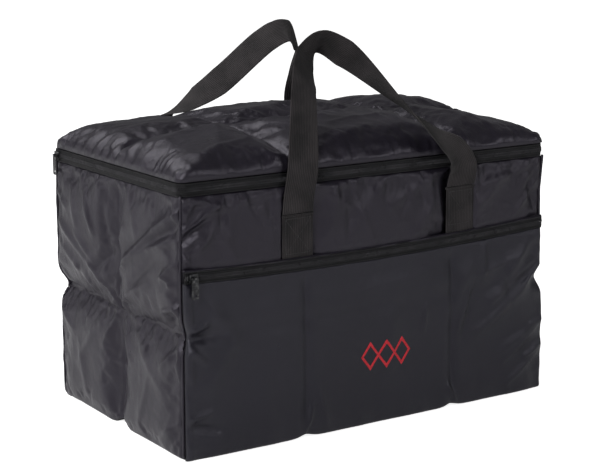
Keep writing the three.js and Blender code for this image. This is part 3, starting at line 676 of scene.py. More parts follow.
def puckers(u, z, wall):
    """The gathers along the seams and edges of a wall."""
    seed = wall["seed"]
    half = wall["half"]
    upright = nearest(u, wall["seams"])
    level = np.abs(z - LEVEL_SEAM)
    side = np.sign(z - LEVEL_SEAM) * 400
    lift = gathers(u + side, level, 11, 3.2, 20, seed)
    lift += gathers(z + np.sign(u) * 500, upright, 14, 1.3, 16, seed + 3)
    lift += gathers(u, SKIN_TOP - z, 8, 2.2, 13, seed + 5)
    lift += gathers(z + np.sign(u) * 700, half - np.abs(u), 13, 1.7, 14, seed + 7)
    crossing = np.exp(-np.hypot(upright, level) / 26)
    near_edge = np.exp(-np.minimum(half - np.abs(u), SKIN_TOP - z) / 40)
    crush = 1.8 * crumpled(u, z, 46, seed + 11) + 0.7 * crumpled(u, z, 20, seed + 15)
    return lift * (1 + 0.9 * crossing) + crush * wall["crush"] * (0.5 + 0.5 * near_edge + 0.8 * crossing)


def wall_lift(u, z, wall, name):
    to_side = wall["half"] - np.abs(u)
    lift = quilting(u, z, wall) + puckers(u, z, wall)
    lift += WALL_FOLD_GAIN * folds(u, z, WALL_FOLDS[name])
    lift += 1.4 * lattice_noise(u, z, 48, 62, wall["seed"] + 9) * smoothstep(to_side, 0, 30)
    lift += BELLY * bell(z - 22, 26) * smoothstep(to_side, 4, 40)
    return lift * smoothstep(SKIN_TOP - z, -1, 5)


def under_patch(u, z, name):
    """Where a handle's patch is sewn flat onto the wall."""
    if name not in PATCH_X:
        return np.zeros(u.shape, bool)
    mirror = 1 if name == "front" else -1
    near = nearest(u, [mirror * x for x in PATCH_X[name]])
    return (near < WEBBING_WIDTH / 2 + 2) & (z > POCKET_ZIP[0]) & (z < FOLD_HEIGHT + 3)


def corner_turn(u, half):
    """How far the skin turns in beside the piping of an upright corner."""
    return 2.6 * (1 - smoothstep(half - np.abs(u), 0, 7))


def wall_skin(name, flat_below=0):
    """The skin of a wall as a grid of points, its foot first, and the grid's own coordinates."""
    wall = WALLS[name]
    half, top = wall["half"] - CORNER_GAP, foot_length(SKIN_TOP)

    def laid(spacing):
        return np.meshgrid(steps_between(-half, half, spacing), steps_between(0, top, spacing))

    def skin(u, v, lift):
        depth, z, out_depth, out_z = foot_profile(v)
        tuck = 3.2 * bell(nearest(u, wall["seams"]), 14) * (1 - smoothstep(z, 4, 34))
        depth = depth + corner_turn(u, wall["half"]) + out_depth * lift
        return stood_up(u, depth, z + out_z * np.minimum(lift, FOOT_LIFT - 0.1) + tuck, wall)

    u, v = laid(COARSE)
    z = foot_profile(v)[1]
    rough = skin(u, v, quilting(u, z, wall))
    held = (nearest(u, wall["seams"]) < 3) | (np.abs(z - LEVEL_SEAM) < 3) | (v < FOOT_FLAT)
    held[:, [0, -1]] = True
    held[-1] = True
    moved = settled(rough, held, 0.025)

    u, v = laid(GRID)
    z = foot_profile(v)[1]
    lift = wall_lift(u, z, wall, name) + creased(moved, *u.shape)
    lift = np.where(under_patch(u, z, name), np.minimum(lift, 1.3), lift)
    if flat_below:
        behind = smoothstep(z, flat_below, flat_below + 24)
        lift = lift * (0.25 + 0.75 * behind) - 1.2 * (1 - behind)
    return cinched(skin(u, v, lift)), together(u, v)


def creased(moved, rows, columns):
    """The simulated sheet's creases and a share of its swelling, within what foam and size allow."""
    swell = blurred(moved, 5)
    crease = moved - swell
    lift = 1.4 * np.tanh(swell / 14) + 2 * np.tanh(1.2 * crease / 2)
    return resampled(lift, rows, columns)


def foam_side(uvs, wall):
    """The back of a wall's padding, flat against the lining."""
    u, v = uvs[..., 0], uvs[..., 1]
    z = np.maximum(foot_profile(v)[1], FOAM_BACK + CLEARANCE + v * 0.05)
    inside = (wall["half"] - FOAM_BACK - CLEARANCE) / (wall["half"] - CORNER_GAP)
    return stood_up(u * inside, np.full_like(u, FOAM_BACK), z, wall)


def quilt_stitches(name, skin, uvs):
    """Thread along a wall's seams, where it isn't behind the pocket."""
    wall = WALLS[name]
    heights = foot_profile(uvs[:, 0, 1])[1]
    shown = heights > (POCKET_ZIP[1] + 3 if name == "front" else FOOT_FLAT)
    paths = [skin[shown, np.abs(uvs[0, :, 0] - seam).argmin()] for seam in wall["seams"]]
    if name != "front":
        paths.append(skin[np.abs(heights - LEVEL_SEAM).argmin(), 2:-2])
    turn = math.radians(wall["turn"])
    outward = (math.sin(turn), -math.cos(turn), 0)
    sewn(name + "_quilt_stitches", paths, outward, *QUILT_THREAD)


def add_walls():
    for name, wall in WALLS.items():
        skin, uvs = wall_skin(name, POCKET_ZIP[0] if name == "front" else 0)
        quilt_stitches(name, skin, uvs)
        made = slab(name + "_wall", skin, foam_side(uvs, wall), LOOKS["nylon"], uvs)
        finished(made, replaces=(name + "_outer", name + "_foam"))


def add_linings():
    """The thin cloth inside the walls and on the base, in shallow wrinkles."""
    near, far = LINING_DEPTH
    low, high = near + 0.4, WALL_TOP
    for name, wall in WALLS.items():
        half = wall["half"] - (far + CLEARANCE if wall["half"] > DEPTH / 2 else near + 0.1)
        u, z = np.meshgrid(steps_between(-half, half, 6), steps_between(low, high, 6))
        fade = smoothstep(half - np.abs(u), 0, 30) * smoothstep(z - low, 0, 30)
        fade *= smoothstep(high - z, 0, 30)
        slack = 0.9 * fade * (1 + lattice_noise(u, z, 34, 70, wall["seed"] + 20))
        outer = stood_up(u, np.full_like(u, near), z, wall)
        inner = stood_up(u, far + slack, z, wall)
        uvs = together(u, z)
        made = slab(name + "_lining_cloth", outer, inner, LOOKS["lining"], uvs)
        finished(made, replaces=(name + "_lining",))


FOOT_INSET = FOOT_RADIUS + FOOT_FLAT + 0.4


def add_base():
    """A padded base between the walls' feet, and the lining on it."""
    half_x, half_y = LENGTH / 2 - FOOT_INSET, DEPTH / 2 - FOOT_INSET
    x, y = plane(half_x, half_y, 6)
    dent = 1.6 * bell(nearest(x, WALL_SEAMS), 10) + 0.5 * (1 + lattice_noise(x, y, 40, 40, 71))
    edge = 0.4 + 2.2 * (1 - smoothstep(to_edge(x, y, half_x, half_y), 0, 9))
    under = together(x, y, dent + edge - 0.4)
    wide_x = (LENGTH / 2 - FOAM_BACK - 1) / half_x
    wide_y = (DEPTH / 2 - FOAM_BACK - 1) / half_y
    over = together(x * wide_x, y * wide_y, np.full_like(x, FOAM_BACK))
    uvs = together(x, y)
    made = slab("base_pad", over, under, LOOKS["nylon"], uvs)
    finished(made, replaces=("bottom_outer", "bottom_foam"))
    inset = LINING_DEPTH[1] + CLEARANCE
    half_x, half_y = LENGTH / 2 - inset, DEPTH / 2 - inset
    x, y = plane(half_x, half_y, 8)
    fade = smoothstep(to_edge(x, y, half_x, half_y), 0, 25)
    top = LINING_DEPTH[1] + 0.5 * fade * (1 + lattice_noise(x, y, 60, 45, 73))
    low = np.full_like(x, LINING_DEPTH[0])
    upper, lower = together(x, y, top), together(x, y, low)
    made = slab("base_lining_cloth", upper, lower, LOOKS["lining"], together(x, y))
    finished(made, replaces=("bottom_lining",))


# Tubes, bands and stitches


def tube(name, path, radius, material, sides=10):
    """A closed tube along a path of points; radius may be one number or one per point."""
    path = np.asarray(path, float)
    along = np.gradient(path, axis=0)
    along /= np.linalg.norm(along, axis=1, keepdims=True)
    guide = np.where(np.abs(along[:, 2:3]) > 0.9, [[1.0, 0, 0]], [[0, 0, 1.0]])
    side = np.cross(along, guide)
    side /= np.linalg.norm(side, axis=1, keepdims=True)
    other = np.cross(along, side)
    angles = np.arange(sides) * 2 * math.pi / sides
    size = np.broadcast_to(radius, len(path))[:, None, None]
    rings = path[:, None] + size * (
        np.cos(angles)[None, :, None] * side[:, None] + np.sin(angles)[None, :, None] * other[:, None]
    )
    faces = grid_faces(len(path), sides, wrap=True)
    faces.append(tuple(range(sides))[::-1])
    faces.append(tuple(range((len(path) - 1) * sides, len(path) * sides)))
    run = run_along(path)
    uvs = np.stack(np.meshgrid(angles * np.mean(radius), run), axis=-1)
    return mesh_object(name, rings.reshape(-1, 3), faces, material, uvs.reshape(-1, 2))


PIPING_RADIUS = 1.6
PIPING_SUNK = 1.3
CORNERS = {"front_left": (-1, -1), "front_right": (1, -1), "back_left": (-1, 1), "back_right": (1, 1)}


def add_piping():
    v = steps_between(FOOT_FLAT, foot_length(SKIN_TOP), 3)
    depth, z, _, _ = foot_profile(v)
    for index, (name, (side_x, side_y)) in enumerate(CORNERS.items()):
        sunk = depth + PIPING_SUNK + 0.4 * lattice_noise(v, v, 19, 19, 80 + index)
        x, y = side_x * (LENGTH / 2 - sunk), side_y * (DEPTH / 2 - sunk)
        path = cinched(together(x, y, z + PIPING_RADIUS))
        radius = PIPING_RADIUS + 0.12 * lattice_noise(v, v, 5, 5, 90 + index)
        made = tube(name + "_corner_piping", path, radius, LOOKS["nylon"])
        finished(made, replaces=(name + "_piping",))


def dashes(name, centres, along, outward, length, width, material):
    """Stitches: short round strands lying on a surface, one at each centre."""
    centres, along, outward = (np.asarray(a, float).reshape(-1, 3) for a in (centres, along, outward))
    along = along / np.linalg.norm(along, axis=1, keepdims=True)
    length = np.broadcast_to(length, len(centres))[:, None]
    side = np.cross(along, outward)
    side /= np.maximum(np.linalg.norm(side, axis=1, keepdims=True), 1e-9)
    up = np.cross(side, along)
    faces = []
    shape = [(-0.5, 0), (-0.36, 1), (0.36, 1), (0.5, 0)]
    rings = []
    for share, size in shape:
        for a, b in ((1, 0), (0, 1), (-1, 0), (0, -1)):
            rings.append(centres + along * length * share + (side * a + up * b * 0.8) * size * width / 2)
            if size == 0:
                break
    points = np.stack(rings, axis=1)
    cell = [(0, 2, 1), (0, 3, 2), (0, 4, 3), (0, 1, 4), (9, 5, 6), (9, 6, 7), (9, 7, 8), (9, 8, 5)]
    cell += [(1, 2, 6, 5), (2, 3, 7, 6), (3, 4, 8, 7), (4, 1, 5, 8)]
    for index in range(len(centres)):
        faces += [tuple(10 * index + corner for corner in face) for face in cell]
    return mesh_object(name, points.reshape(-1, 3), faces, material)


def spaced(path, pitch):
    """Points every pitch along a path, and the path's directions there."""
    path = np.asarray(path, float)
    run = run_along(path)
    places = np.arange(pitch / 2, run[-1], pitch)
    points = point_at(places, run, path)
    ahead = point_at(places + 0.1, run, path)
    return points, ahead - points + 1e-9


def sewn(name, paths, outward, pitch, length, width, slot="thread", body="body"):
    """Rows of stitches along paths, each with the one outward direction."""
    rows = [spaced(path, pitch) for path in paths]
    centres = np.concatenate([points for points, _ in rows])
    along = np.concatenate([directions for _, directions in rows])
    out = np.broadcast_to(np.asarray(outward, float), centres.shape)
    return finished(dashes(name, centres, along, out, length, width, LOOKS[slot]), body)


# Zips: twill tapes, teeth that mesh across the gap, and rows of stitches

ZIP_STEP = 2.5
TOOTH_PITCH = 1.7
TOOTH_HALF = 0.42
TOOTH_ROOT = 1.9
TOOTH_REACH = 0.5
THREAD_OUT = 0.62
THREAD_ROWS = (0.42, 0.86)
BAND_CORNER = 10
TAPE = 0.8


def band_path(spacing):
    """The zip band's line from above, round the left end, the front and the right end."""
    x, y, radius = LENGTH / 2, DEPTH / 2, BAND_CORNER
    back = DEPTH / 2 - 1.15
    line = [(-x, back)]
    for centre_x, start in ((radius - x, math.pi), (x - radius, 1.5 * math.pi)):
        for angle in np.linspace(start, start + math.pi / 2, 13):
            line.append((centre_x + radius * math.cos(angle), radius * (1 + math.sin(angle)) - y))
    line.append((x, back))
    line = np.array(line)
    run = run_along(line)
    return point_at(steps_between(0, run[-1], spacing), run, line)


def sideways(path):
    """Unit directions out of the bag along a line that runs round it, seen from above."""
    along = np.gradient(path, axis=0)
    out = np.stack([along[:, 1], -along[:, 0]], axis=-1)
    return out / np.linalg.norm(out, axis=1, keepdims=True)


def tape(name, path, out, low, high, edge_at_low, body, replaces):
    """One half of a zip's tape, a little rounded, thicker where the teeth are sewn on."""
    heights = np.linspace(low, high, 9)
    share = (heights - low) / (high - low)
    if not edge_at_low:
        share = 1 - share
    bead = 0.28 * bell(share - 0.42, 0.07) + 0.35 * np.sin(math.pi * share)
    run = run_along(path)
    wander = 0.25 * lattice_noise(run, run, 30, 30, len(name))
    def face(offset):
        grid = np.zeros((len(heights), len(path), 3))
        grid[..., :2] = path[None] + out[None] * (offset[:, None, None] + wander[None, :, None] * 0.5)
        grid[..., 2] = heights[:, None]
        return grid
    uvs = np.stack(np.meshgrid(run, heights), axis=-1)
    made = slab(name, face(bead), face(np.full_like(bead, -TAPE)), LOOKS["zip_tape"], uvs)
    return finished(made, body, replaces)


def teeth(name, path, out, low, high, edge_at_low, body, replaces):
    """Moulded teeth along a tape's edge, their heads reaching across the gap."""
    run = run_along(path)
    places = np.arange(TOOTH_PITCH * (1 if edge_at_low else 0.5), run[-1], TOOTH_PITCH)
    at = point_at(places, run, path)
    ahead = point_at(places + 0.05, run, path) - at
    ahead /= np.linalg.norm(ahead, axis=1, keepdims=True)
    side = point_at(places, run, out)
    down, up = high - TOOTH_ROOT, high + TOOTH_REACH
    if edge_at_low:
        down, up = low - TOOTH_REACH, low + TOOTH_ROOT
    corners = []
    for z in (down, up):
        for depth, narrow in ((0.3, 1.0), (1.15, 0.82), (1.35, 0.45)):
            for sign in (-1, 1):
                plan = at + side * depth + ahead * sign * TOOTH_HALF * narrow
                inset = (0.18 if depth > 1.2 else 0) * (1 if z == down else -1)
                corners.append(np.concatenate([plan, np.full((len(at), 1), z + inset)], axis=1))
    points = np.stack(corners, axis=1)
    quads = [(0, 1, 3, 2), (2, 3, 5, 4), (6, 8, 9, 7), (8, 10, 11, 9), (4, 5, 11, 10)]
    quads += [(0, 2, 8, 6), (2, 4, 10, 8), (1, 7, 9, 3), (3, 9, 11, 5), (0, 6, 7, 1)]
    faces = [tuple(12 * i + c for c in quad) for i in range(len(at)) for quad in quads]
    made = mesh_object(name, points.reshape(-1, 3), faces, LOOKS["zip_coil"], smooth=False)
    return finished(made, body, replaces)


def zip_half(name, path, out, low, high, edge_at_low, body="body"):
    """One tape with its teeth, along its lower or its upper edge."""
    tape(name + "_twill", path, out, low, high, edge_at_low, body, (name + "_tape",))
    teeth(name + "_teeth", path, out, low, high, edge_at_low, body, (name + "_coil",))


def add_main_zip():
    path = band_path(ZIP_STEP)
    out = sideways(path)
    out[0], out[-1] = (-1, 0), (1, 0)
    halves = (("body", BAND_LOW, BAND_GAP[0]), ("lid", BAND_GAP[1], RIM_HEIGHT - CLEARANCE))
    for name, low, high in halves:
        edge_at_low = name == "lid"
        zip_half(name + "_zip", path, out, low, high, edge_at_low, name)
        for row, share in enumerate(THREAD_ROWS):
            z = low + share * (high - low) if edge_at_low else high - share * (high - low)
            line = np.column_stack([path + out * THREAD_OUT, np.full(len(path), z)])
            pitch, length, width = ZIP_THREAD
            points, along = spaced(line, pitch)
            outward = np.cross(along, (0, 0, 1.0))
            title = f"{name}_zip_stitches_{row}"
            made = dashes(title, points, along, outward, length, width, LOOKS["thread"])
            finished(made, name)


def add_hinge_strip():
    """The doubled fabric along the back, where the lid is sewn on and bends."""
    half = LENGTH / 2 - 1.95
    u, z = np.meshgrid(steps_between(-half, half, 3), steps_between(BAND_LOW, RIM_HEIGHT - CLEARANCE, 1.6))
    lift = 0.35 * np.sin(math.pi * (z - BAND_LOW) / (RIM_HEIGHT - BAND_LOW))
    lift = lift + 0.25 * lattice_noise(u, z, 9, 12, 64)
    wall = WALLS["back"]
    uvs = together(u, z)
    outer, inner = stood_up(u, -lift, z, wall), stood_up(u, np.full_like(u, TAPE), z, wall)
    made = slab("hinge_fabric", outer, inner, LOOKS["nylon"], uvs)
    finished(made, replaces=("lid_hinge_strip",))
    rows = [np.abs(z[:, 0] - height).argmin() for height in (BAND_LOW + 2.5, RIM_HEIGHT - 2.5)]
    lines = [outer[row] + (0, 0.2, 0) for row in rows]
    sewn("hinge_stitches", lines, (0, 1, 0), *HINGE_THREAD)


def add_rim_binding():
    """Folded tape over the raw edges round the inside of the mouth."""
    inset = 10.85
    x, y = LENGTH / 2 - inset, DEPTH / 2 - inset
    corners = np.array([(-x, -y), (x, -y), (x, y), (-x, y), (-x, -y)], float)
    run = run_along(corners)
    places = np.unique(np.concatenate([steps_between(0, run[-1], 4), run]))[:-1]
    line = point_at(places, run, corners)
    half = np.array([x, y])
    toward = -np.clip(line / half, -1, 1) * (np.abs(line) > half - 0.01)
    outline = [(0, 0), (0.8, 0.3), (1.15, 2), (1.15, 5), (0.8, 6.9), (0, 7.05)]
    rings = [np.column_stack([line + toward * d, np.full(len(line), BAND_LOW + h)]) for d, h in outline]
    points = np.concatenate(rings)
    count = len(line)
    faces = grid_faces(len(outline), count, wrap=True)
    last = (len(outline) - 1) * count
    for i in range(count):
        ahead = (i + 1) % count
        faces.append((last + i, last + ahead, ahead, i))
    uvs = np.concatenate([np.column_stack([places, np.full(count, h)]) for _, h in outline])
    made = mesh_object("mouth_binding", points, faces, LOOKS["zip_tape"], uvs)
    finished(made, replaces=("rim_binding",))


# Lid: a quilted dome that its edge seam gathers

LID_EDGE = RIM_HEIGHT + CLEARANCE
LID_HALVES = (LENGTH / 2 + LID_OVERHANG, DEPTH / 2 + LID_OVERHANG)
LID_SHOULDER = 16
LID_SHOULDER_RUN = 8
LID_CROWN = 24
LID_PUFF = 2.5
LID_SEAM_PULL = 4.5
LID_SEAM_WIDTH = 17
LID_CREASE_DEPTH = 2.4
LID_LINING_INSET = 4
LID_SINK = (250, -60, 8, 60)  # a hollow at the right end: its middle, depth and reach
LID_FOLDS = [
    (-114, -12, -30, -120, 3.4, 9), (-100, -20, -10, -60, 2.4, 7), (-128, -14, -196, -128, 2.8, 10),
    (-112, 14, -150, 110, 2.4, 10), (-60, -140, 20, -112, 2.6, 8), (-240, -60, -150, -20, 2.0, 10),
    (-236, 60, -150, 24, 1.8, 10), (-100, 20, 60, 64, 1.8, 12), (20, -40, 100, -10, 2.2, 9),
    (112, -14, 60, -120, 2.6, 9), (116, -10, 190, -120, 2.4, 9), (118, 12, 190, 100, 2.0, 11),
    (-20, -90, 70, -70, 2.0, 7), (140, -120, 236, -80, 2.2, 8), (-220, -130, -140, -104, 2.8, 7),
    (200, 20, 244, 90, 1.6, 10), (-60, 100, 40, 120, 1.6, 10),
]


def rounded_plan(x, y):
    """The lid's plan, drawn in to the zip band's round corners."""
    mid_x, mid_y = LENGTH / 2 - BAND_CORNER, DEPTH / 2 - BAND_CORNER
    out_x, out_y = np.abs(x) - mid_x, np.abs(y) - mid_y
    corner = (out_x > 0) & (out_y > 0)
    far = np.maximum(np.hypot(out_x, out_y), 1e-9)
    shrink = np.where(corner, np.maximum(out_x, out_y) / far, 1)
    centre_x, centre_y = np.sign(x) * mid_x, np.sign(y) * mid_y
    return (np.where(corner, centre_x + (x - centre_x) * shrink, x),
            np.where(corner, centre_y + (y - centre_y) * shrink, y))


def lid_rise(x, y):
    half_x, half_y = LID_HALVES
    inward = to_edge(x, y, half_x, half_y)
    shoulder = LID_SHOULDER * (1 - np.exp(-inward / LID_SHOULDER_RUN))
    bow = np.cos(math.pi * x / 2 / half_x) * np.cos(math.pi * y / 2 / half_y)
    cross = nearest(x, LID_SEAMS)
    inside = smoothstep(inward, 2, 22)
    valley = np.maximum(bell(cross, LID_SEAM_WIDTH), bell(y, LID_SEAM_WIDTH)) * inside
    crease = np.maximum(np.exp(-cross / CREASE_WIDTH), np.exp(-np.abs(y) / CREASE_WIDTH))
    crease *= smoothstep(inward, 1, 12)
    puff = LID_PUFF * hump(x, [-half_x, *LID_SEAMS, half_x]) * hump(y, [-half_y, 0, half_y])
    sink_x, sink_y, depth, reach = LID_SINK
    sink = depth * np.exp(-((x - sink_x) ** 2 + (y - sink_y) ** 2) / reach**2) * inside
    dome = shoulder + LID_CROWN * np.sqrt(np.maximum(0, bow)) + puff
    return dome - LID_SEAM_PULL * valley - LID_CREASE_DEPTH * crease - sink


def lid_detail(x, y):
    half_x, half_y = LID_HALVES
    to_end, to_side = half_x - np.abs(x), half_y - np.abs(y)
    cross = nearest(x, LID_SEAMS)
    lift = gathers(x + 600 * np.sign(y), to_side, 12, 2.4, 20, 101)
    lift += gathers(y + 600 * np.sign(x), to_end, 12, 2.6, 22, 105)
    lift += gathers(y, cross, 14, 1.8, 20, 109) + gathers(x, np.abs(y), 14, 1.6, 20, 113)
    lift *= 1 + 0.8 * np.exp(-np.hypot(cross, y) / 28)
    lift += folds(x, y, LID_FOLDS) + 1.6 * lattice_noise(x, y, 42, 30, 117)
    lift += 1.2 * crumpled(x, y, 52, 151) + 0.5 * crumpled(x, y, 22, 155)
    return lift * smoothstep(np.minimum(to_end, to_side), 0, 4)


def add_lid():
    half_x, half_y = LID_HALVES

    def top(x, y, lift=0):
        plan = rounded_plan(x, y)
        return together(*plan, LID_EDGE + 1 + lid_rise(x, y) + lift)

    x, y = plane(half_x, half_y, COARSE)
    held = (nearest(x, LID_SEAMS) < 3) | (np.abs(y) < 3)
    held[[0, -1]] = True
    held[:, [0, -1]] = True
    moved = settled(top(x, y), held, 0.03)
    x, y = plane(half_x, half_y, GRID)
    lift = lid_detail(x, y) + creased(moved, *x.shape)
    outer = top(x, y)
    outer = outer + normals_of(outer) * lift[..., None]
    under_x, under_y = rounded_plan(x * (LENGTH / 2 - 1) / half_x, y * (DEPTH / 2 - 1) / half_y)
    inner = together(under_x, under_y, np.full_like(x, LID_EDGE - 0.2))
    made = slab("lid_shell", outer, inner, LOOKS["nylon"], together(x, y))
    finished(made, "lid", ("lid_outer",))
    paths = [outer[:, np.abs(x[0] - seam).argmin()] for seam in LID_SEAMS]
    paths.append(outer[np.abs(y[:, 0]).argmin()])
    sewn("lid_seam_stitches", [path[3:-3] for path in paths], (0, 0, 1), *LID_THREAD, body="lid")


def add_lid_lining():
    half_x, half_y = LENGTH / 2 - LID_LINING_INSET, DEPTH / 2 - LID_LINING_INSET
    x, y = plane(half_x, half_y, 6)
    fade = smoothstep(to_edge(x, y, half_x, half_y), 0, 24)
    valley = np.maximum(bell(nearest(x, LID_SEAMS), 14), bell(y, 14))
    low = BAND_GAP[1] + fade * (1.2 + 0.8 * lattice_noise(x, y, 40, 34, 121) + 1.6 * valley)
    top, under = together(x, y, np.full_like(x, LID_EDGE - 0.3)), together(x, y, low)
    made = slab("lid_lining_pad", top, under, LOOKS["lining"], together(x, y))
    finished(made, "lid", ("lid_lining", "lid_foam"))


# Front pocket

POCKET_HALF_GAP = 0.6
PANEL_FOLD = 3
PANEL_FOOT = 4
PANEL_DEEP = 4.6
POCKET_FOLD_GAIN = 1.8
POCKET_FOLDS = [
    (-254, 150, -232, 158, 3.6, 4), (-254, 142, -228, 140, -2.6, 5), (-254, 132, -236, 118, 2.6, 4),
    (-254, 40, -216, 34, -2.8, 6), (-254, 50, -228, 56, 2.2, 5), (-232, 186, -196, 138, 2.0, 12),
    (157, 183, 121, 97, 1.5, 6), (240, 166, 174, 127, 1.3, 6), (220, 178, 155, 162, 1.2, 5),
    (197, 172, 203, 116, -1.0, 6), (255, 89, 193, 47, 1.6, 6), (257, 56, 201, 19, 1.5, 6),
    (150, 169, 129, 83, -1.2, 5), (165, 204, 161, 154, 1.2, 5), (75, 136, 71, 105, 1.0, 4),
    (-196, 138, -232, 84, 1.8, 12), (-92, 40, -100, 6, 2.6, 4), (-82, 60, -70, 12, 1.6, 8),
    (108, 30, 118, 6, 2.4, 4), (-20, 170, 70, 178, 1.0, 8), (150, 190, 110, 120, 1.8, 12),
    (176, 130, 236, 190, 2.2, 10), (150, 90, 246, 150, 2.4, 10), (190, 60, 250, 92, 1.8, 8),
    (254, 160, 226, 140, 3.0, 5), (254, 60, 228, 48, 2.4, 5), (20, 60, 26, 150, 1.2, 14),
    (-150, 20, -156, 90, 1.2, 14),
]


def panel_surface(lift_of):
    """The pocket's panel: a cloth with its sides and foot turned in, as grids of points and of U, Z."""
    side_run = PANEL_FOLD * math.pi / 2 + PANEL_DEEP - PANEL_FOLD
    half = POCKET_HALF - PANEL_FOLD + side_run
    foot_run = PANEL_FOOT * math.pi / 2
    top = POCKET_ZIP[0] - FOOT_LIFT - PANEL_FOOT + foot_run
    s, v = np.meshgrid(steps_between(-half, half, GRID), steps_between(0, top, GRID))
    over = np.maximum(np.abs(s) - (POCKET_HALF - PANEL_FOLD), 0)
    turn = np.clip(over / PANEL_FOLD, 0, math.pi / 2)
    deep = PANEL_FOLD * (1 - np.cos(turn)) + np.maximum(over - PANEL_FOLD * math.pi / 2, 0)
    u = np.sign(s) * (np.minimum(np.abs(s), POCKET_HALF - PANEL_FOLD) + PANEL_FOLD * np.sin(turn))
    bend = np.clip(v / PANEL_FOOT, 0, math.pi / 2)
    foot = PANEL_FOOT * (1 - np.sin(bend)) * 0.9
    z = FOOT_LIFT + PANEL_FOOT * (1 - np.cos(bend)) + np.maximum(v - foot_run, 0)
    notch = 3.4 * bell(nearest(u, WALL_SEAMS), 12) * (1 - smoothstep(z, 4, 40))
    lift = lift_of(u, z)
    depth = np.minimum(deep + foot, 5.5) - lift * np.cos(turn) * np.sin(bend)
    return together(u, -POCKET_FACE + depth, z + notch), s, v, u, z


def pocket_lift(u, z):
    to_side = POCKET_HALF - np.abs(u)
    to_top = POCKET_ZIP[0] - z
    bulge = 3.4 * smoothstep(to_side, 0, 40) * smoothstep(to_top, 0, 46)
    seam = nearest(u, WALL_SEAMS)
    shown = 2.2 * bell(seam, 7) + 1.3 * bell(z - LEVEL_SEAM, 10)
    shown += 0.9 * bell(seam, 2.2)
    lift = bulge - shown * smoothstep(to_side, 0, 20) * smoothstep(to_top, 0, 20)
    lift += POCKET_FOLD_GAIN * folds(u, z, POCKET_FOLDS)
    lift += gathers(z + 300 * np.sign(u), to_side, 15, 1.6, 13, 131)
    lift += gathers(u, z, 26, 1.0, 26, 135) + gathers(u, np.maximum(to_top, 0), 16, 0.5, 14, 137)
    away = smoothstep(to_side, 0, 25) * smoothstep(to_top, 0, 25)
    lift += 1.3 * lattice_noise(u, z, 66, 90, 139) * away
    lift += BELLY * bell(z - 18, 26) * smoothstep(to_side, 0, 40)
    left_ridge = bell(POCKET_HALF + u - 7, 3) * (0.7 + 0.5 * lattice_noise(z, u, 24, 24, 147))
    crush = crumpled(u, z, 30, 161) * np.exp(-np.minimum(to_side, to_top + 10) / 24)
    lift += 1.7 * left_ridge + 1.2 * crush
    return lift * smoothstep(to_top, 0, 5)


def add_pocket():
    """The panel, the zip above it and the red embroidered motif."""
    outer, s, v, u, z = panel_surface(pocket_lift)
    outer = cinched(outer)
    inner = outer - normals_of(outer) * 0.9
    made = slab("pocket_cloth", outer, inner, LOOKS["pocket"], together(s, v))
    nodes = ("pocket_panel", "pocket_left_edge", "pocket_right_edge", "pocket_bottom_edge")
    finished(made, replaces=nodes)
    add_pocket_zip()
    add_motif(outer, u, z)


def add_pocket_zip():
    x = steps_between(-POCKET_HALF, POCKET_HALF, ZIP_STEP)
    path = together(x, np.full_like(x, -POCKET_FACE))
    out = np.broadcast_to((0.0, -1.0), path.shape)
    low, high = POCKET_ZIP
    middle = (low + high) / 2
    zip_half("pocket_lower", path, out, low, middle - POCKET_HALF_GAP, False)
    zip_half("pocket_upper", path, out, middle + POCKET_HALF_GAP, high, True)
    heights = (low + 1.4, low + 4, high - 4, high - 1.4)
    rows = [np.column_stack([path + out * THREAD_OUT, np.full_like(x, h)]) for h in heights]
    sewn("pocket_zip_stitches", rows, (0, -1, 0), *ZIP_THREAD)
    s, t = np.meshgrid(x, np.linspace(0, 1, 7))
    lip_z = high - 0.4 + 1.6 * np.sin(math.pi * t) + 0.3 * lattice_noise(s, t, 14, 2, 143)
    lip_y = -POCKET_FACE - 0.1 + t * (POCKET_FACE - 151.6)
    top = together(s, lip_y, lip_z)
    under = top - np.array([0, 0, 0.9])
    made = slab("pocket_top_fold", top, under, LOOKS["nylon"], together(s, t * 6))
    finished(made, replaces=("pocket_top_edge",))


MOTIF_CENTRE = (15, 86)
MOTIF_LOZENGES = 3
MOTIF_WIDTH, MOTIF_HEIGHT, MOTIF_LINE = 27, 36, 4
STRAND = 0.5


def add_motif(panel, u, z):
    """A row of linked lozenges in satin stitch, laid on the pocket's panel."""
    pitch = MOTIF_WIDTH - MOTIF_LINE
    inner = np.array([MOTIF_WIDTH / 2 - MOTIF_LINE, 0]), np.array([0, MOTIF_HEIGHT / 2 - MOTIF_LINE * 1.45])
    outer = np.array([MOTIF_WIDTH / 2, 0]), np.array([0, MOTIF_HEIGHT / 2])
    ends = []
    for index in range(MOTIF_LOZENGES):
        middle = np.array([MOTIF_CENTRE[0] + (index - (MOTIF_LOZENGES - 1) / 2) * pitch, MOTIF_CENTRE[1]])
        for sign_x, sign_z in ((1, 1), (-1, 1), (-1, -1), (1, -1)):
            way = np.array([sign_x, sign_z])
            for share in np.arange(0, 1, STRAND * 0.8 / math.hypot(*outer[0] + outer[1])):
                near = middle + way * (inner[0] * (1 - share) + inner[1] * share)
                far = middle + way * (outer[0] * (1 - share) + outer[1] * share)
                ends.append((near, far))
    ends = np.array(ends)
    columns, heights = u[-1], z[:, u.shape[1] // 2]

    def on_panel(points):
        i = np.array([np.abs(columns - p).argmin() for p in points[:, 0]])
        j = np.array([np.abs(heights - p).argmin() for p in points[:, 1]])
        return np.column_stack([points[:, 0], panel[j, i, 1] - 0.15, points[:, 1]])

    near, far = on_panel(ends[:, 0]), on_panel(ends[:, 1])
    run = far - near
    made = dashes("pocket_embroidery", (near + far) / 2, run, np.broadcast_to((0, -1.0, 0), run.shape),
                  np.linalg.norm(run, axis=1), 0.75, LOOKS["embroidery"])
    finished(made, replaces=("pocket_motif",))


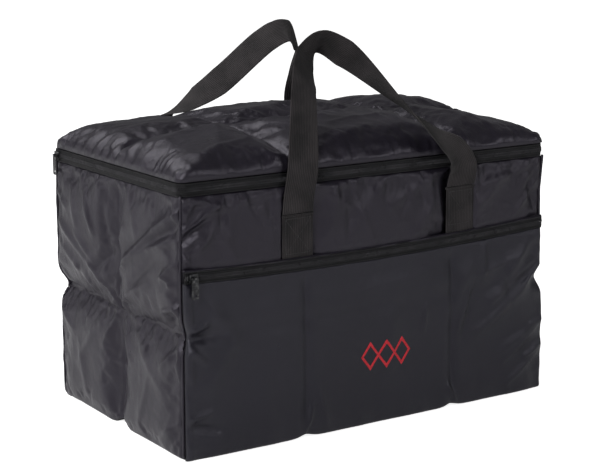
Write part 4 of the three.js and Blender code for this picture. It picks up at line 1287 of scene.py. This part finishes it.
# Handles: ribbed webbing, sewn on in patches with a boxed cross and folded at the patch's top

# Each handle's route: the webbing's middle along X, inward from the fold line and above it, and the
# direction across it
FRONT_STRAP = [
    ((-107, -0.75, 2), (1, 0, 0)), ((-107, -3.75, 23), (1, 0, 0)), ((-103, -4.75, 50), (1, 0, -0.15)),
    ((-95, 5.25, 86), (0.98, 0.02, -0.3)), ((-74, 36.25, 140), (0.86, 0.1, -0.5)),
    ((-56, 59.25, 169), (0.68, 0.25, -0.7)), ((-34, 66.25, 185), (0.2, 0.65, -0.73)),
    ((-11, 48.25, 172), (-0.12, 0.68, -0.72)), ((38, 10.25, 118), (0.3, 0.92, -0.2)),
    ((92, -8.75, 66), (0.58, 0.72, 0.34)), ((116, -7.75, 45), (0.83, 0.3, 0.4)),
    ((127, -4.75, 23), (1, 0, 0.1)), ((127, -0.75, 2), (1, 0, 0)),
]
BACK_STRAP = [
    ((-115, -0.75, 2), (-1, 0, 0)), ((-115, -4.75, 23), (-1, 0, 0)),
    ((-112, -6.75, 47), (-1, -0.1, 0.05)), ((-101, 0.25, 70), (-0.84, -0.54, 0)),
    ((-80, 28.25, 92), (-0.35, -0.8, -0.5)), ((-56, 52.25, 115), (-0.05, -0.77, -0.64)),
    ((-10, 85.25, 166), (0.08, -0.88, -0.47)), ((12, 88.25, 176), (0.06, -0.86, -0.5)),
    ((33, 81.25, 169), (-0.17, -0.54, -0.82)), ((73, 40.25, 128), (-0.14, -0.68, -0.72)),
    ((92, 15.25, 99), (0.45, -0.84, -0.3)), ((101, -3.75, 68), (0.88, -0.45, 0)),
    ((107, -5.75, 38), (1, -0.1, 0)), ((107, -0.75, 2), (1, 0, 0)),
]
STRAP_STEPS = 260
BOX_HALF = 17
BOX_HEAD = 4
BOX_FOOT = 42


def route_point(places, t):
    """A point of the centripetal Catmull-Rom curve through the places, t from 0 to 1."""
    last = len(places) - 1
    index = min(int(t * last), last - 1)
    share = t * last - index
    p1, p2 = places[index], places[index + 1]
    p0 = places[index - 1] if index else 2 * p1 - p2
    p3 = places[index + 2] if index + 2 <= last else 2 * p2 - p1
    d0, d1, d2 = (math.sqrt(np.linalg.norm(b - a)) for a, b in ((p0, p1), (p1, p2), (p2, p3)))
    leave = ((p1 - p0) / d0 - (p2 - p0) / (d0 + d1) + (p2 - p1) / d1) * d1
    arrive = ((p2 - p1) / d1 - (p3 - p1) / (d1 + d2) + (p3 - p2) / d2) * d1
    square = -3 * p1 + 3 * p2 - 2 * leave - arrive
    cube = 2 * p1 - 2 * p2 + leave + arrive
    return p1 + leave * share + square * share**2 + cube * share**3


def strap_frames(stations, outward, ends_rise):
    """Middles, directions across and normals all along a handle."""
    places = []
    for (x, inward, up), _ in stations:
        rise = ends_rise[x > 0] * (1 - smoothstep(up, 10, 80))
        places.append(np.array([x, outward * (FOLD_OUT - inward), FOLD_HEIGHT + up + rise]))
    sides = [np.array(side, float) for _, side in stations]
    rows = []
    for t in np.linspace(0, 1, STRAP_STEPS + 1):
        along = route_point(places, min(t + 1e-3, 1)) - route_point(places, max(t - 1e-3, 0))
        along /= np.linalg.norm(along)
        index = min(int(t * (len(sides) - 1)), len(sides) - 2)
        share = t * (len(sides) - 1) - index
        across = sides[index] * (1 - share) + sides[index + 1] * share
        across = across - across.dot(along) * along
        across /= np.linalg.norm(across)
        rows.append((route_point(places, t), across, np.cross(across, along)))
    return tuple(np.array(column) for column in zip(*rows))


def webbing_band(name, middles, across, normals, cup=0.0):
    """A band of webbing through cross-sections with fine lengthwise ribs and round selvedges."""
    half, thick = WEBBING_WIDTH / 2, WEBBING / 2
    side = np.linspace(-half, half, 91)
    edge = np.sqrt(np.clip(1 - (np.abs(side) / half) ** 14, 0, 1))
    rib = RIB_HEIGHT * np.cos(2 * math.pi * side / RIB_PITCH)
    bow = cup * (1 - (side / half) ** 2) - cup / 2
    over = np.column_stack([side, bow + (thick - RIB_HEIGHT + rib) * edge])
    under = np.column_stack([side, bow - (thick - RIB_HEIGHT + rib) * edge])[::-1][1:-1]
    section = np.concatenate([over, under])
    count = len(section)
    rings = middles[:, None] + across[:, None] * section[None, :, :1]
    rings = rings + normals[:, None] * section[None, :, 1:]
    faces = [face[::-1] for face in grid_faces(len(middles), count, wrap=True)]
    faces.append(tuple(range(count)))
    faces.append(tuple(range((len(middles) - 1) * count, len(middles) * count))[::-1])
    run = run_along(middles)
    uvs = np.stack(np.meshgrid(section[:, 0], run), axis=-1).reshape(-1, 2)
    return mesh_object(name, rings.reshape(-1, 3), faces, LOOKS["webbing"], uvs)


def patch_frames(x, outward, rise):
    z = steps_between(POCKET_ZIP[1] + 2 + (zip_rise(x) if outward < 0 else 0), PATCH_TOP + rise, 3)
    y = outward * (PATCH_FACE + WEBBING / 2)
    middles = np.column_stack([np.full_like(z, x), np.full_like(z, y), z])
    return middles, np.tile([-outward, 0, 0], (len(z), 1)), np.tile([0, outward, 0], (len(z), 1))


def fold_roll(name, x, outward, rise):
    """The webbing's bend over its stitch line."""
    half = WEBBING_WIDTH / 2
    side = np.linspace(-half, half, 91)
    level = np.full_like(side, FOLD_HEIGHT + rise)
    path = np.column_stack([x + side, np.full_like(side, outward * FOLD_OUT), level])
    radius = 1.75 + 0.13 * np.cos(2 * math.pi * side / RIB_PITCH)
    return tube(name, path, radius, LOOKS["webbing"], 14)


def box_stitch(name, x, outward, rise):
    """Rows of thread round a box and across it corner to corner."""
    half, low, high = BOX_HALF, PATCH_TOP + rise - BOX_FOOT, PATCH_TOP + rise - BOX_HEAD
    y = outward * (PATCH_FACE + WEBBING + 0.12)
    corner = {(i, j): (x + i * half, y, high if j > 0 else low) for i in (-1, 1) for j in (-1, 1)}
    order = [((-1, -1), (1, -1)), ((1, -1), (1, 1)), ((1, 1), (-1, 1)), ((-1, 1), (-1, -1))]
    order += [((-1, -1), (1, 1)), ((-1, 1), (1, -1))]
    paths = [np.array([corner[a], corner[b]]) for a, b in order]
    return sewn(name, paths, (0, outward, 0), *BOX_THREAD)


def add_handles():
    for wall, outward, stations in (("front", -1, FRONT_STRAP), ("back", 1, BACK_STRAP)):
        body = wall + "_handle"
        frames = strap_frames(stations, outward, PATCH_RISE[wall])
        finished(webbing_band(wall + "_carry_strap", *frames, cup=0.5), body, (body,))
        for side, x, rise in zip(("left", "right"), PATCH_X[wall], PATCH_RISE[wall]):
            roll = fold_roll(f"{wall}_{side}_strap_fold", x, outward, rise)
            finished(roll, body, (f"{wall}_{side}_fold",))
            patch = webbing_band(f"{wall}_{side}_strap_patch", *patch_frames(x, outward, rise))
            finished(patch, replaces=(f"{wall}_{side}_patch",))
            stitch = box_stitch(f"{wall}_{side}_box_stitch", x, outward, rise)
            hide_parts(f"{wall}_{side}_stitch")


SLIDERS_AT = {"main": (-LENGTH / 2, 143, RIM_HEIGHT - 8), "pocket": (-246.8, -POCKET_FACE, 212.5)}


def add_metal():
    """Sliders, pulls and stops in their CAD shape, set where the slumped zips are."""
    for name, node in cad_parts.items():
        if not name.endswith(("_slider", "_pull", "_stop")):
            continue
        points = np.array([node.matrix_world @ vertex.co for vertex in node.data.vertices]) / MM
        body = "body" if name.endswith("_stop") else name
        if body == name:
            rest = np.array([SLIDERS_AT[name.split("_")[0]]])
            points += slumped(rest) - rest
        faces = [tuple(face.vertices) for face in node.data.polygons]
        made = mesh_object(name + "_casting", points, faces, LOOKS["zip_metal"])
        made.data.set_sharp_from_angle(angle=math.radians(35))
        finished(made, body, (name,))


# Studio

FLOOR_SIZE = 60
FLOOR_PAPER = 0.9
FLOOR_GLOW = 0.9
WORLD_LIGHT = 0.12


def add_floor():
    """A pale floor that shows white to the camera and keeps the bag's shadow."""
    bpy.ops.mesh.primitive_plane_add(size=FLOOR_SIZE)
    floor = bpy.context.object
    floor.name = "floor"
    material = bpy.data.materials.new("floor")
    material.use_nodes = True
    nodes, links = material.node_tree.nodes, material.node_tree.links
    nodes.clear()
    paper = nodes.new("ShaderNodeBsdfDiffuse")
    paper.inputs["Color"].default_value = (FLOOR_PAPER, FLOOR_PAPER, FLOOR_PAPER, 1)
    glow = nodes.new("ShaderNodeEmission")
    rays = nodes.new("ShaderNodeLightPath")
    links.new(rays.outputs["Is Camera Ray"], glow.inputs["Strength"])
    glow.inputs["Color"].default_value = (FLOOR_GLOW, FLOOR_GLOW, FLOOR_GLOW, 1)
    both = nodes.new("ShaderNodeAddShader")
    links.new(paper.outputs[0], both.inputs[0])
    links.new(glow.outputs[0], both.inputs[1])
    links.new(both.outputs[0], nodes.new("ShaderNodeOutputMaterial").inputs["Surface"])
    floor.data.materials.append(material)


LAMPS = [  # name, place in metres, size in metres and power in watts
    ("key", (-2.2, -1.2, 1.9), 0.7, 50),
    ("side", (-2.2, 1.6, 0.7), 0.9, 8),
    ("front", (1.4, -2.6, 1.4), 0.8, 16),
    ("over", (-0.9, 1.2, 2.2), 1.4, 30),
]


def add_lights():
    world = bpy.data.worlds.new("studio")
    world.use_nodes = True
    nodes, links = world.node_tree.nodes, world.node_tree.links
    rays = nodes.new("ShaderNodeLightPath")
    seen = nodes.new("ShaderNodeMath")
    seen.operation = "MAXIMUM"
    links.new(rays.outputs["Is Camera Ray"], seen.inputs[0])
    links.new(rays.outputs["Is Transmission Ray"], seen.inputs[1])
    strength = nodes.new("ShaderNodeMapRange")
    links.new(seen.outputs[0], strength.inputs["Value"])
    strength.inputs["To Min"].default_value = WORLD_LIGHT
    strength.inputs["To Max"].default_value = 1
    links.new(strength.outputs[0], nodes["Background"].inputs["Strength"])
    nodes["Background"].inputs["Color"].default_value = (1, 1, 1, 1)
    bpy.context.scene.world = world
    for name, place, size, power in LAMPS:
        data = bpy.data.lights.new(name, "AREA")
        data.size = size
        data.energy = power
        lamp = bpy.data.objects.new(name, data)
        bpy.context.scene.collection.objects.link(lamp)
        lamp.location = place
        aim = Vector((0, 0, 0.2)) - Vector(place)
        lamp.rotation_mode = "QUATERNION"
        lamp.rotation_quaternion = aim.to_track_quat("-Z", "Y")


add_camera()
add_walls()
add_linings()
add_base()
add_piping()
add_main_zip()
add_hinge_strip()
add_rim_binding()
add_lid()
add_lid_lining()
add_pocket()
add_handles()
add_metal()
add_floor()
add_lights()
bpy.context.scene.view_settings.view_transform = "Standard"
